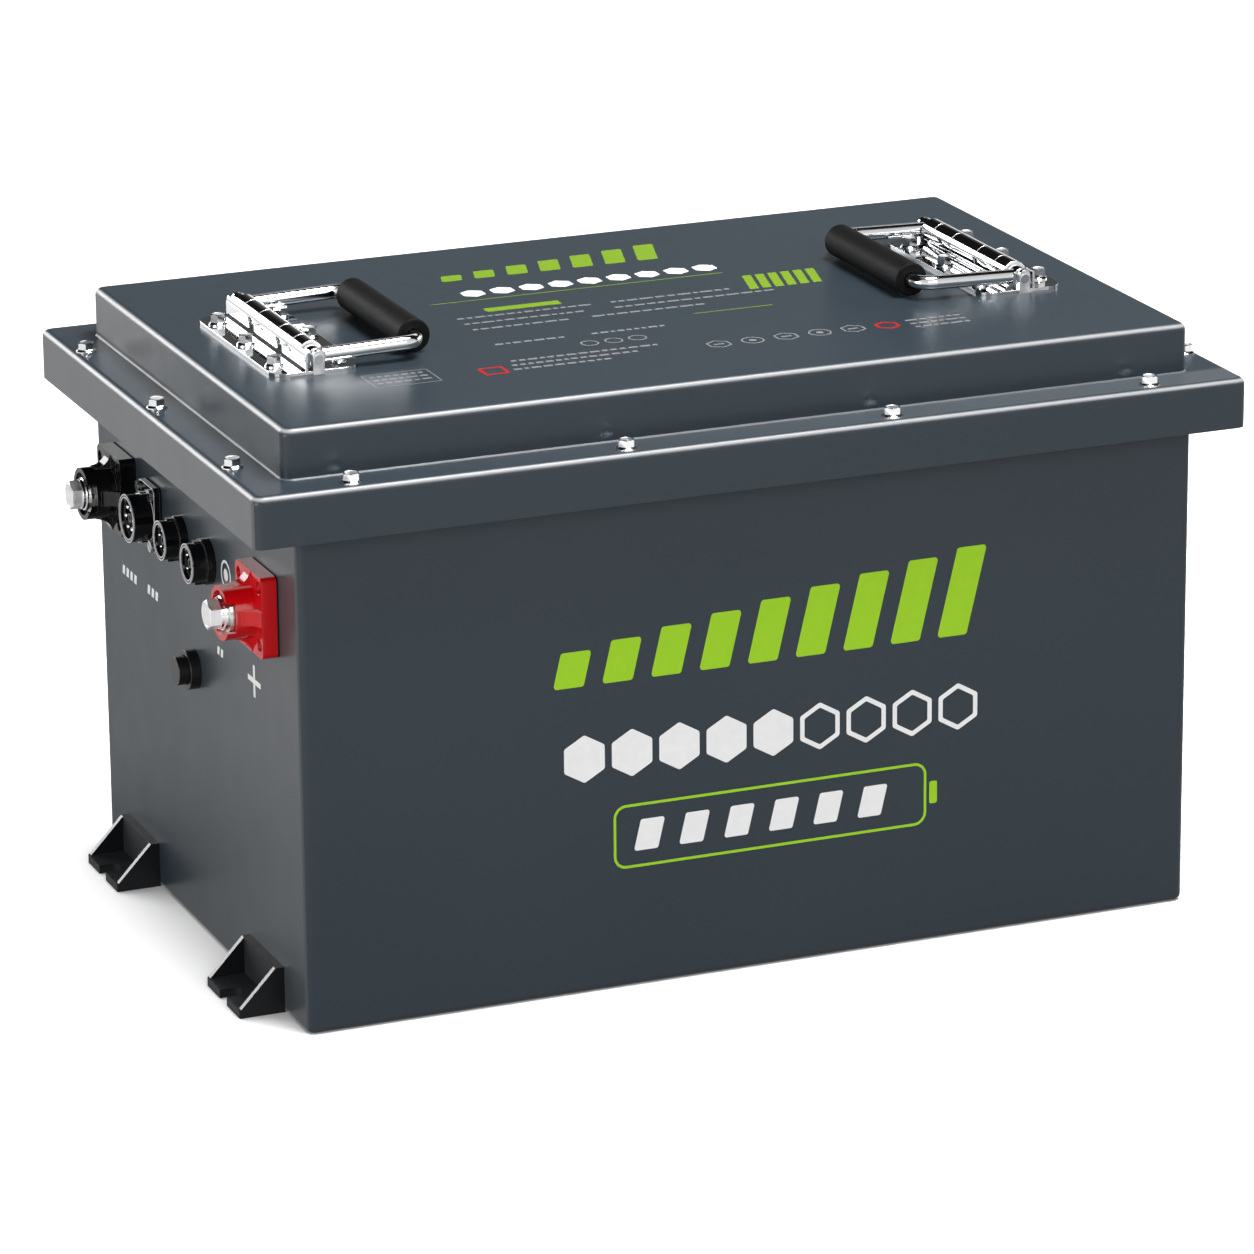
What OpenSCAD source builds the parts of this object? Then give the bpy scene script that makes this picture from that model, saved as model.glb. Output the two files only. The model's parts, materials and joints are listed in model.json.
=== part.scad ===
// Sealed deep cycle battery: a folded steel tank with a stepped lid, two folding spring handles,
// two bolt terminals, three round connectors and a wake button on the end wall, and a pack of
// prismatic cells with its control board inside.
// Millimetres. The terminal end faces -X, +Z is up, the origin is under the middle of the tank.

/* [Case] */
// Length of the tank over its end walls
tank_l = 444; // [440:1:460]
// Width of the tank over its side walls
tank_w = 295; // [290:1:305]
// Height of the lid's ledge above the floor
ledge_h = 260; // [250:1:270]
// Rise of the lid's raised middle above the ledge
plinth_rise = 23.5; // [22:0.5:27]
// Overhang of the lid past each end wall of the tank
lid_overhang_l = 23; // [22:0.5:26]
// Overhang of the lid past each side wall of the tank
lid_overhang_w = 11.5; // [11:0.5:13]
// Width of the ledge at the ends of the lid
ledge_l = 21; // [19:0.5:23]
// Width of the ledge at the sides of the lid
ledge_w = 20.5; // [19:0.5:23]
// Height of the lid's skirt
skirt_h = 24; // [18:1:30]
// Thickness of the sheet steel
sheet_t = 1.5; // [1.2:0.1:2]
// Thickness of the gasket under the lid
rim_gasket_t = 2; // [1.5:0.25:3]

/* [Handles] */
// Distance of each hinge axis from the end of the lid
handle_inset = 67; // [60:1:80]
// Distance from the hinge axis to the middle of the grip
bail_reach = 52; // [48:1:60]
// Length of the rubber grip
grip_l = 84; // [76:1:88]
// Outer diameter of the rubber grip
grip_d = 16; // [13:0.5:16]
// Diameter of the bail's rod
rod_d = 7; // [6:0.5:7]

/* [Terminals and connectors] */
// Distance of each terminal's middle from the side wall
terminal_inset = 44.5; // [36:0.5:52]
// Height of the terminals
terminal_z = 191.3; // [180:0.5:205]
// Height of the round connectors
port_z = 190.4; // [180:0.2:205]
// Sideways place of the charge connector
charge_y = 58; // [54:1:62]
// Sideways place of the data port
data_y = 17.5; // [14:0.5:22]
// Sideways place of the display port
display_y = -22.5; // [-28:0.5:-18]
// Sideways place of the wake button
button_y = 2.6; // [-20:0.2:20]
// Height of the wake button
button_z = 130.5; // [100:0.5:150]

/* [Feet] */
// Distance of each foot's middle from the side wall
foot_inset = 56.1; // [40:0.1:68]
// Width of each foot
foot_w = 47; // [40:1:54]
// Height of each foot
foot_h = 22; // [18:1:30]
// Reach of each foot past the end wall
foot_l = 22; // [20:0.5:26]
// Width of the open bolt slot in each foot
slot_w = 10; // [8:0.5:12]

/* [Cell pack] */
// Gap between the strapped pack and each side wall
side_gap = 14.4; // [10:0.2:18]
// Thickness of one cell, along the tank
cell_t = 36; // [30:0.5:37]
// Height of one cell without its posts
cell_h = 200.5; // [180:0.5:204]

/* [Hidden] */
$fn = 48;

// Small overlap that lets two solids of one piece join, and a cutter pass a face
eps = 0.5;
// Gap round a screw, bolt or stud in its own thread
thread_gap = 0.05;
// Gap round a fixed piece in its hole
fit_gap = 0.2;
// Gap between a turning or sliding piece and what it moves past
move_gap = 0.3;

// Case
tank_corner_r = 4;
tank_fold_r = 3;
lid_corner_r = 5;
lid_fold_r = 3.5;
bead = 0.7;
lid_l = tank_l + 2 * lid_overhang_l;
lid_w = tank_w + 2 * lid_overhang_w;
plinth_l = lid_l - 2 * ledge_l;
plinth_w = lid_w - 2 * ledge_w;
plinth_top = ledge_h + plinth_rise;
handle_x = lid_l / 2 - handle_inset;
terminal_y = tank_w / 2 - terminal_inset;
foot_y = tank_w / 2 - foot_inset;
rim_top = ledge_h - sheet_t - rim_gasket_t;
inner_top = plinth_top - sheet_t;
rim_gap = 0.5;
rim_l = lid_l - 2 * (sheet_t + rim_gap);
rim_w = lid_w - 2 * (sheet_t + rim_gap);
rim_corner_r = lid_corner_r - sheet_t - rim_gap;
gasket_inset = lid_fold_r + rim_gap;

// Hexagon heads: the top circle's radius as a share of the width over flats, and the turn
head_top = 0.47;
head_turn = -20;

// M5 hexagon flange bolts of the lid and the handles
m5_r = 2.5;
m5_hole_r = m5_r + fit_gap;
m5_flange_r = 5.4;
m5_flange_t = 1.2;
m5_flange_slope = 0.5;
m5_af = 8;
m5_head_h = 4.6;
lid_bolt_inset = 7.5;
side_bolt_count = 4;
end_bolt_count = 3;
side_bolt_pitch = (lid_l - 96) / (side_bolt_count - 1);
end_bolt_pitch = (lid_w - 102) / (end_bolt_count - 1);
lid_bolt_l = 14;
rim_nut_r = 3.4;
rim_nut_h = 10.5;

// Handles, with u towards the middle of the lid, v across it and w up from its top
handle_plate_u = 43;
handle_plate_v = 112;
handle_plate_t = 1.6;
handle_plate_r = 8;
axis_w = 7.2;
pin_r = 1.7;
pin_head_r = 2.2;
pin_head_t = 0.3;
barrel_r = 6;
barrel_bore_r = 4.4;
knuckle_cut = 0.8;
knuckle_edges = [-46.4, -34, -14, 14, 34, 46.4];
arm_v = 50.5;
eye_wall_t = 1.1;
eye_r = barrel_r - eye_wall_t - move_gap;
eye_w = 7.6;
ear_v = arm_v + eye_w / 2 + move_gap;
ear_t = 3;
ear_w = 5.6;
ear_top = 11.4;
groove_h = 0.6;
groove_depth = 0.4;
bend_r = 8;
grip_w = grip_d / 2 + 0.6;
bail_tilt = asin((grip_w - axis_w) / bail_reach);
handle_screw_u = 15.5;
handle_screw_v = 40;
handle_screw_l = 9;
nut_af = 8;
nut_h = 4;
spring_wire = 1.2;
spring_coil_r = 3.4;
spring_pitch = 1.7;
spring_turns = 7;
spring_v = 18;
coil_steps = 12;
coil_sides = 6;

// Terminals, with the distance d counted outwards from the end wall
base_h = 38.5;
base_w = 36;
base_t = 8;
base_r = 3;
terminal_gasket_t = 0.8;
shroud_r = 12.7;
shroud_d = 22;
shroud_bore_r = 10.4;
shroud_floor_d = 4;
notch_h = 14;
notch_d = 17.8;
flare_r = 8;
flare_w = 7;
terminal_tail_r = 9.8;
terminal_tail_d = 4;
scoop_floor_d = 4.8;
terminal_screw = 13.5;
m3_r = 1.5;
m3_head_r = 2.9;
m3_head_t = 1.8;
scoop_r = m3_head_r + fit_gap;
m3_slot_w = 0.7;
m3_l = 9;
conductor_r = 10;
conductor_d = 20;
neck_r = 6;
neck_l = 26;
stud_hole_floor = 3;
m8_r = 4;
m8_af = 13;
m8_head_h = 5.3;
flat_washer_r = 8;
spring_washer_r = 7.2;
washer_t = 1.6;
inner_lug_r = 10;
lug_t = 2;
terminal_nut_af = 18;
terminal_nut_t = 6;

// Connectors
charge_flange_h = 32;
charge_flange_w = 24;
charge_flange_t = 3;
charge_gasket_t = 1;
charge_barrel_r = 11.6;
charge_d = 14;
charge_bore_r = 9.8;
charge_insert_d = 7.5;
charge_tail_r = 9;
charge_screw_x = 12.5;
charge_screw_y = 8.5;
port_collar_r = 11;
port_collar_t = 4;
port_barrel_r = 9.4;
port_d = 11;
port_bore_r = 7.6;
port_insert_d = 5.5;
port_tail_r = 7;
port_thread_r = 9;
port_tail = 12;
port_nut_af = 24;
port_nut_t = 4;
insert_tail = 9;
insert_sink = 0.2;
shell_wall = 1.2;
key_w = 3;
key_rise = 1.1;
key_d = 3.5;
contact_r = 1;
contact_ring_r = 4.6;
contact_depth = 4;
charge_contact_r = 2;
charge_contact_ring_r = 5;

// Button
bezel_r = 9.5;
bezel_t = 5.2;
cap_r = 6.8;
cap_d = 10.1;
cap_flange_r = 7.3;
cap_flange_t = 2;
cap_stop_d = 1;
button_thread_r = 8.6;
button_tail = 16;
button_floor_t = 2;
button_nut_af = 22;
button_spring_wire = 0.8;
button_spring_r = 5;
button_spring_turns = 5;

// Feet
foot_wall_t = 4.3;
foot_base_t = 4.2;
foot_rib_t = 2.8;
foot_r = 0.8;
slot_centre_d = foot_l - 5.5;
m4_r = 2;
m4_head_r = 3.5;
m4_head_t = 2.4;
foot_screw_v = 14;
foot_screw_z = 14;

// Cell pack
row_count = 8;
cell_pitch = cell_t + 0.3;
row_gap = 0.8;
post_r = 7;
post_h = 3;
post_offset = 33;
stud_r = 3;
busbar_t = 2;
busbar_w = 20;
m6_af = 10;
m6_h = 5;
floor_pad_t = 3;
end_plate_t = 3;
end_plate_drop = 20;
strap_t = 0.8;
strap_h = 16;
strap_low_z = 50;
strap_pitch = 90;
pack_end = tank_l / 2 - sheet_t - rim_gap - strap_t - end_plate_t;
pack_start = pack_end - row_count * cell_pitch;
pack_w = tank_w - 2 * (sheet_t + side_gap + strap_t);
cell_l = pack_w / 2 - row_gap;
cell_z = sheet_t + floor_pad_t;
cell_top = cell_z + cell_h;
busbar_z = cell_top + post_h;
stud_top = busbar_z + busbar_t + m6_h;
insulator_t = 1.5;
foam_y = 80;
foam_w = 40;
first_cell_x = pack_start + cell_pitch / 2;
inner_post_y = row_gap + cell_l / 2 - post_offset;
cable_slot_w = 24;
cable_slot_l = 40;

// Battery control board, ahead of the pack
bracket_gap = 20;
bracket_x = pack_start - bracket_gap;
bracket_w = 230;
bracket_h = 188;
bracket_foot = 26;
sink_w = 180;
sink_h = 140;
sink_z = 40;
sink_t = 5;
fin_count = 19;
fin_t = 2;
fin_h = 12;
fin_span = 150;
standoff_r = 3;
standoff_l = 15;
board_t = 1.6;
board_x = bracket_x - sheet_t - sink_t - standoff_l;
switch_count = 10;
switch_pitch = 15;
switch_size = [4, 10, 14];
switch_z = 30;
socket_size = [10, 52, 12];
socket_z = 106;
socket_y = 60;
can_count = 4;
can_pitch = 22;
can_r = 6;
can_h = 12;
can_z = 72;
lug_block_h = 8;
lug_block_y = [40, 70];
lug_block_z = 80;
cable_r = 5;
cable_sides = 12;
cell_lug_r = 8;

// ---- shared shapes ----

// Rectangle with round corners, centred
module rounded_rect(l, w, r) {
    square([l - 2 * r, w], center = true);
    square([l, w - 2 * r], center = true);
    for (x = [-1, 1], y = [-1, 1])
        translate([x * (l / 2 - r), y * (w / 2 - r)])
            circle(r);
}

// Section of a folded sheet: a flat to the fold, then a wall up to h, its outer face at w
module pan_section(w, h, t, fold) {
    translate([w - t, fold])
        square([t, h - fold]);
    translate([w - fold, fold])
        intersection() {
            difference() {
                circle(fold);
                circle(fold - t);
            }
            translate([0, -fold])
                square(fold);
        }
    square([w - fold, t]);
}

// Carries a section round a rectangle with corners of radius r; its x is 0 at the corner centres
module ring_sweep(l, w, r) {
    for (side = [0, 180]) {
        rotate([0, 0, side])
            translate([l / 2 - r, 0, 0])
                rotate([90, 0, 0])
                    linear_extrude(w - 2 * r, center = true)
                        children();
        rotate([0, 0, side + 90])
            translate([w / 2 - r, 0, 0])
                rotate([90, 0, 0])
                    linear_extrude(l - 2 * r, center = true)
                        children();
    }
    for (corner = [[1, 1, 0], [-1, 1, 90], [-1, -1, 180], [1, -1, 270]])
        translate([corner[0] * (l / 2 - r), corner[1] * (w / 2 - r), 0])
            rotate([0, 0, corner[2]])
                rotate_extrude(angle = 90)
                    children();
}

// Puts children on the terminal end wall: x goes up, y stays, z goes outwards
module on_end(y, z) {
    translate([-tank_l / 2, y, z])
        rotate([0, -90, 0])
            children();
}

// Puts children on the lid at a handle: side -1 is the terminal end, +1 the far end
module at_handle(side) {
    translate([side * handle_x, 0, plinth_top])
        rotate([0, 0, side > 0 ? 180 : 0])
            children();
}

module hex(af, h) {
    cylinder(d = af / cos(30), h = h, $fn = 6);
}

// Hexagon head with its top corners cut back by a cone, one flat turned towards the front corner
module hex_head(af, h) {
    intersection() {
        rotate([0, 0, head_turn])
            hex(af, h);
        cylinder(r1 = head_top * af + h / tan(30), r2 = head_top * af, h = h);
    }
}

module hex_nut(af, h, bore_r) {
    difference() {
        hex(af, h);
        translate([0, 0, -eps])
            cylinder(r = bore_r, h = h + 2 * eps);
    }
}

// Bolt that stands on z = 0 with its shank down
module flange_bolt(l) {
    translate([0, 0, -l])
        cylinder(r = m5_r, h = l + eps);
    cylinder(r1 = m5_flange_r, r2 = m5_flange_r - m5_flange_slope, h = m5_flange_t);
    translate([0, 0, m5_flange_t - eps])
        hex_head(m5_af, m5_head_h + eps);
}

// Slotted screw that stands on z = 0 with its shank down
module slotted_screw(l) {
    difference() {
        union() {
            translate([0, 0, -l])
                cylinder(r = m3_r, h = l + eps);
            cylinder(r = m3_head_r, h = m3_head_t);
        }
        translate([-m3_head_r - eps, -m3_slot_w / 2, m3_head_t / 2])
            cube([2 * (m3_head_r + eps), m3_slot_w, m3_head_t]);
    }
}

// Direction of a path at point i
function path_dir(p, i) =
    let (d = p[min(i + 1, len(p) - 1)] - p[max(i - 1, 0)])
    d / norm(d);

// Round tube along a path; spare is any direction that the path never takes
module tube(path, r, sides, spare) {
    points = [
        for (i = [0 : len(path) - 1])
            let (
                t = path_dir(path, i),
                n = cross(t, spare) / norm(cross(t, spare)),
                b = cross(t, n)
            )
            for (j = [0 : sides - 1])
                path[i] + r * (cos(360 * j / sides) * n + sin(360 * j / sides) * b)
    ];
    walls = [
        for (i = [0 : len(path) - 2], j = [0 : sides - 1])
            let (
                a = i * sides + j,
                b = i * sides + (j + 1) % sides
            )
            each [[b, a, b + sides], [b + sides, a, a + sides]]
    ];
    first_cap = [for (j = [0 : sides - 1]) j];
    last_cap = [for (j = [sides - 1 : -1 : 0]) (len(path) - 1) * sides + j];
    polyhedron(points, concat(walls, [first_cap, last_cap]));
}

// Points of a coil round the z axis
function coil(r, pitch, turns, steps) = [
    for (i = [0 : turns * steps])
        [r * cos(360 * i / steps), r * sin(360 * i / steps), pitch * i / steps]
];

// ---- case ----

module lid_bolt_places() {
    for (s = [-1, 1]) {
        for (i = [0 : side_bolt_count - 1])
            translate([
                (i - (side_bolt_count - 1) / 2) * side_bolt_pitch,
                s * (lid_w / 2 - lid_bolt_inset),
                0
            ])
                children();
        for (i = [0 : end_bolt_count - 1])
            translate([
                s * (lid_l / 2 - lid_bolt_inset),
                (i - (end_bolt_count - 1) / 2) * end_bolt_pitch,
                0
            ])
                children();
    }
}

module terminal_screw_places() {
    for (x = [-1, 1], y = [-1, 1])
        translate([x * terminal_screw, y * terminal_screw, 0])
            children();
}

module charge_screw_places() {
    for (x = [-1, 1], y = [-1, 1])
        translate([x * charge_screw_x, y * charge_screw_y, 0])
            children();
}

module foot_screw_places() {
    for (s = [-1, 1], v = [-1, 1])
        on_end(s * foot_y + v * foot_screw_v, foot_screw_z)
            children();
}

// Cutter through the end wall
module wall_hole(r) {
    translate([0, 0, -sheet_t - eps])
        cylinder(r = r, h = sheet_t + 2 * eps);
}

module tank() {
    color("#4a5056")
        difference() {
            union() {
                ring_sweep(tank_l, tank_w, tank_corner_r)
                    pan_section(tank_corner_r, rim_top, sheet_t, tank_fold_r);
                translate([0, 0, sheet_t / 2])
                    cube([tank_l - 2 * tank_corner_r, tank_w - 2 * tank_corner_r, sheet_t], center = true);
                translate([0, 0, rim_top - sheet_t])
                    linear_extrude(sheet_t)
                        difference() {
                            rounded_rect(rim_l, rim_w, rim_corner_r);
                            rounded_rect(tank_l - sheet_t, tank_w - sheet_t, tank_corner_r - sheet_t / 2);
                        }
            }
            translate([0, 0, rim_top - sheet_t - eps])
                lid_bolt_places()
                    cylinder(r = rim_nut_r + thread_gap, h = sheet_t + 2 * eps);
            for (s = [-1, 1])
                on_end(s * terminal_y, terminal_z) {
                    wall_hole(terminal_tail_r + fit_gap);
                    terminal_screw_places()
                        wall_hole(m3_r + thread_gap);
                }
            on_end(charge_y, port_z) {
                wall_hole(charge_tail_r + shell_wall + fit_gap);
                charge_screw_places()
                    wall_hole(m3_r + thread_gap);
            }
            for (y = [data_y, display_y])
                on_end(y, port_z)
                    wall_hole(port_thread_r + fit_gap);
            on_end(button_y, button_z)
                wall_hole(button_thread_r + fit_gap);
            foot_screw_places()
                wall_hole(m4_r + fit_gap);
        }
}

module rim_gasket() {
    color("#1c1c1c")
        translate([0, 0, rim_top])
            difference() {
                linear_extrude(rim_gasket_t)
                    difference() {
                        rounded_rect(
                            lid_l - 2 * gasket_inset,
                            lid_w - 2 * gasket_inset,
                            lid_corner_r - gasket_inset
                        );
                        rounded_rect(tank_l, tank_w, tank_corner_r);
                    }
                translate([0, 0, -eps])
                    lid_bolt_places()
                        cylinder(r = m5_hole_r, h = rim_gasket_t + 2 * eps);
            }
}

module lid() {
    color("#4e545a")
        difference() {
            union() {
                translate([0, 0, ledge_h])
                    mirror([0, 0, 1])
                        ring_sweep(lid_l, lid_w, lid_corner_r)
                            pan_section(lid_corner_r, skirt_h, sheet_t, lid_fold_r);
                translate([0, 0, plinth_top])
                    mirror([0, 0, 1])
                        ring_sweep(plinth_l, plinth_w, lid_corner_r)
                            pan_section(lid_corner_r, plinth_rise + sheet_t, sheet_t, lid_fold_r);
                translate([0, 0, plinth_top - sheet_t / 2])
                    cube([plinth_l - 2 * lid_corner_r, plinth_w - 2 * lid_corner_r, sheet_t], center = true);
                translate([0, 0, ledge_h - sheet_t])
                    linear_extrude(sheet_t)
                        difference() {
                            square([lid_l - 2 * lid_corner_r, lid_w - 2 * lid_corner_r], center = true);
                            rounded_rect(plinth_l - sheet_t, plinth_w - sheet_t, lid_corner_r - sheet_t / 2);
                        }
                translate([0, 0, ledge_h])
                    ring_sweep(plinth_l, plinth_w, lid_corner_r)
                        polygon([
                            [lid_corner_r - sheet_t / 2, -sheet_t / 2],
                            [lid_corner_r + bead, -sheet_t / 2],
                            [lid_corner_r + bead, 0],
                            [lid_corner_r, bead],
                            [lid_corner_r - sheet_t / 2, bead]
                        ]);
            }
            translate([0, 0, ledge_h - sheet_t - eps])
                lid_bolt_places()
                    cylinder(r = m5_hole_r, h = sheet_t + 2 * eps);
            for (side = [-1, 1])
                at_handle(side)
                    handle_screw_places()
                        translate([0, 0, -sheet_t - eps])
                            cylinder(r = m5_hole_r, h = sheet_t + 2 * eps);
        }
}

module lid_bolts() {
    color("#c9ccd0")
        translate([0, 0, ledge_h])
            lid_bolt_places()
                flange_bolt(lid_bolt_l);
}

module rim_nuts() {
    color("#b8bcc0")
        translate([0, 0, rim_top - rim_nut_h])
            lid_bolt_places()
                difference() {
                    cylinder(r = rim_nut_r, h = rim_nut_h);
                    translate([0, 0, -eps])
                        cylinder(r = m5_r + thread_gap, h = rim_nut_h + 2 * eps);
                }
}

// ---- feet ----

module foot(y) {
    color("#202224")
        on_end(y, 0)
            difference() {
                union() {
                    translate([0, -foot_w / 2, 0])
                        cube([foot_h, foot_w, foot_wall_t]);
                    translate([0, 0, foot_l - foot_r])
                        for (s = [-1, 1])
                            translate([0, s * (foot_w / 2 - foot_r), 0])
                                rotate([0, 90, 0])
                                    cylinder(r = foot_r, h = foot_base_t);
                    translate([0, -foot_w / 2, 0])
                        cube([foot_base_t, foot_w, foot_l - foot_r]);
                    translate([0, -foot_w / 2 + foot_r, foot_l - 2 * foot_r])
                        cube([foot_base_t, foot_w - 2 * foot_r, 2 * foot_r]);
                    for (s = [0, 1])
                        translate([0, -foot_w / 2 + s * (foot_w - foot_rib_t) + foot_rib_t, 0])
                            rotate([90, 0, 0])
                                linear_extrude(foot_rib_t)
                                    polygon([
                                        [0, 0],
                                        [foot_h, 0],
                                        [foot_h, foot_wall_t],
                                        [foot_base_t, foot_l - foot_r],
                                        [0, foot_l - foot_r]
                                    ]);
                }
                translate([-eps, 0, slot_centre_d])
                    rotate([0, 90, 0])
                        cylinder(d = slot_w, h = foot_base_t + 2 * eps);
                translate([-eps, -slot_w / 2, slot_centre_d])
                    cube([foot_base_t + 2 * eps, slot_w, foot_l]);
                for (v = [-1, 1])
                    translate([foot_screw_z, v * foot_screw_v, -eps])
                        cylinder(r = m4_r + thread_gap, h = foot_wall_t - 1 + eps);
            }
}

module front_foot() {
    foot(-foot_y);
}

module rear_foot() {
    foot(foot_y);
}

module foot_screws() {
    color("#8d9196")
        foot_screw_places() {
            translate([0, 0, -sheet_t - m4_head_t])
                cylinder(r = m4_head_r, h = m4_head_t);
            translate([0, 0, -sheet_t - eps])
                cylinder(r = m4_r, h = sheet_t + foot_wall_t - 1.5 + eps);
        }
}

// ---- handles ----

module handle_screw_places() {
    for (u = [-1, 1], v = [-1, 0, 1])
        translate([u * handle_screw_u, v * handle_screw_v, 0])
            children();
}

// Runs children along v, with their x towards u and their y up
module across() {
    rotate([90, 0, 0])
        children();
}

// Section of the hinge: a round top over the axis and a flat wall on its outer side
module hinge_section() {
    translate([0, axis_w])
        circle(barrel_r);
    translate([-barrel_r, 0])
        square([barrel_r, axis_w]);
}

// Section of an ear: an upright tab with a round top that holds one end of the pin
module ear_section() {
    translate([0, ear_top - ear_w / 2])
        circle(d = ear_w);
    translate([-ear_w / 2, 0])
        square([ear_w, ear_top - ear_w / 2]);
}

module handle_plate(side) {
    color("#d4d6d8")
        at_handle(side)
            difference() {
                union() {
                    linear_extrude(handle_plate_t)
                        rounded_rect(handle_plate_u, handle_plate_v, handle_plate_r);
                    for (k = [0 : len(knuckle_edges) - 2])
                        translate([0, knuckle_edges[k + 1] - knuckle_cut / 2, 0])
                            across()
                                linear_extrude(knuckle_edges[k + 1] - knuckle_edges[k] - knuckle_cut)
                                    difference() {
                                        hinge_section();
                                        translate([0, axis_w])
                                            circle(barrel_bore_r);
                                    }
                    // The outer wall runs on past the bail's eyes to the ends of the plate
                    translate([0, handle_plate_v / 2, 0])
                        across()
                            linear_extrude(handle_plate_v)
                                difference() {
                                    hinge_section();
                                    translate([eye_wall_t - barrel_r, -eps])
                                        square([2 * barrel_r, 2 * barrel_r + axis_w]);
                                }
                    for (s = [-1, 1])
                        translate([0, s * (ear_v + ear_t / 2) + ear_t / 2, 0])
                            across()
                                linear_extrude(ear_t)
                                    ear_section();
                }
                for (s = [-1, 1])
                    translate([0, s * (ear_v + ear_t / 2) + ear_t / 2 + eps, axis_w])
                        across()
                            cylinder(r = pin_r + thread_gap, h = ear_t + 2 * eps);
                translate([-barrel_r - eps, -ear_v, handle_plate_t])
                    cube([eps + groove_depth, 2 * ear_v, groove_h]);
                translate([0, 0, -eps])
                    handle_screw_places()
                        cylinder(r = m5_hole_r, h = handle_plate_t + 2 * eps);
            }
}

module handle_pin(side) {
    color("#b9bdc1")
        at_handle(side)
            translate([0, ear_v + ear_t + pin_head_t, axis_w])
                across() {
                    cylinder(r = pin_r, h = 2 * (ear_v + ear_t + pin_head_t));
                    cylinder(r = pin_head_r, h = pin_head_t);
                    translate([0, 0, 2 * (ear_v + ear_t) + pin_head_t])
                        cylinder(r = pin_head_r, h = pin_head_t);
                }
}

module handle_spring(side) {
    color("#9aa0a6")
        at_handle(side)
            for (s = [-1, 1])
                translate([0, s * spring_v + spring_pitch * spring_turns / 2, axis_w])
                    across()
                        tube(
                            coil(spring_coil_r, spring_pitch, spring_turns, coil_steps),
                            spring_wire / 2,
                            coil_sides,
                            [0, 0, 1]
                        );
}

// Bail in its own plane: the eyes on the axis, the cross rod at bail_reach
module bail(side) {
    arm_end = bail_reach - bend_r;
    cross_half = arm_v - bend_r;
    color("#cfd2d5")
        at_handle(side)
            translate([0, 0, axis_w])
                rotate([0, -bail_tilt, 0])
                    difference() {
                        union() {
                            for (s = [-1, 1]) {
                                translate([0, s * arm_v + eye_w / 2, 0])
                                    across()
                                        cylinder(r = eye_r, h = eye_w);
                                translate([0, s * arm_v, 0])
                                    rotate([0, 90, 0])
                                        cylinder(d = rod_d, h = arm_end);
                                translate([arm_end, s * cross_half, 0])
                                    rotate([0, 0, s > 0 ? 0 : -90])
                                        rotate_extrude(angle = 90)
                                            translate([bend_r, 0])
                                                circle(d = rod_d);
                            }
                            translate([bail_reach, cross_half, 0])
                                across()
                                    cylinder(d = rod_d, h = 2 * cross_half);
                        }
                        for (s = [-1, 1])
                            translate([0, s * arm_v + eye_w / 2 + eps, 0])
                                across()
                                    cylinder(r = pin_r + thread_gap, h = eye_w + 2 * eps);
                    }
}

module grip(side) {
    color("#191a1b")
        at_handle(side)
            translate([0, 0, axis_w])
                rotate([0, -bail_tilt, 0])
                    translate([bail_reach, grip_l / 2, 0])
                        across()
                            difference() {
                                cylinder(d = grip_d, h = grip_l);
                                translate([0, 0, -eps])
                                    cylinder(r = rod_d / 2 + thread_gap, h = grip_l + 2 * eps);
                            }
}

module left_handle_plate() {
    handle_plate(-1);
}

module left_handle_pin() {
    handle_pin(-1);
}

module left_handle_spring() {
    handle_spring(-1);
}

module left_bail() {
    bail(-1);
}

module left_grip() {
    grip(-1);
}

module right_handle_plate() {
    handle_plate(1);
}

module right_handle_pin() {
    handle_pin(1);
}

module right_handle_spring() {
    handle_spring(1);
}

module right_bail() {
    bail(1);
}

module right_grip() {
    grip(1);
}

module handle_screws() {
    color("#d0d3d6")
        for (side = [-1, 1])
            at_handle(side)
                translate([0, 0, handle_plate_t])
                    handle_screw_places()
                        flange_bolt(handle_screw_l);
}

module handle_nuts() {
    color("#b8bcc0")
        for (side = [-1, 1])
            at_handle(side)
                translate([0, 0, -sheet_t - nut_h])
                    handle_screw_places()
                        hex_nut(nut_af, nut_h, m5_r + thread_gap);
}

// ---- terminals ----

// Curved web from the base's edge up to the shroud
module flare(half) {
    across()
        linear_extrude(flare_w, center = true)
            difference() {
                translate([shroud_bore_r + 1, base_t - eps])
                    square([half - shroud_bore_r - 1, flare_r + eps]);
                translate([shroud_r + flare_r, base_t + flare_r])
                    circle(flare_r);
            }
}

module terminal_housing(s) {
    on_end(s * terminal_y, terminal_z)
        difference() {
            union() {
                translate([0, 0, terminal_gasket_t])
                    linear_extrude(base_t - terminal_gasket_t)
                        rounded_rect(base_h, base_w, base_r);
                translate([0, 0, -sheet_t - terminal_tail_d])
                    cylinder(r = terminal_tail_r, h = sheet_t + terminal_tail_d + base_t);
                translate([0, 0, base_t - eps])
                    cylinder(r = shroud_r, h = shroud_d - base_t + eps);
                for (turn = [0, 180]) {
                    rotate([0, 0, turn])
                        flare(base_h / 2);
                    rotate([0, 0, turn + 90])
                        flare(base_w / 2);
                }
            }
            translate([0, 0, shroud_floor_d])
                cylinder(r = shroud_bore_r, h = shroud_d);
            translate([0, 0, -sheet_t - terminal_tail_d - eps])
                cylinder(r = neck_r + fit_gap, h = shroud_d);
            translate([-notch_h / 2, -base_w / 2, notch_d])
                cube([notch_h, base_w / 2, shroud_d]);
            terminal_screw_places() {
                translate([0, 0, scoop_floor_d])
                    cylinder(r = scoop_r, h = shroud_d);
                cylinder(r = m3_r + fit_gap, h = base_t);
            }
        }
}

module positive_housing() {
    color("#c01414")
        terminal_housing(-1);
}

module negative_housing() {
    color("#151515")
        terminal_housing(1);
}

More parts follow.
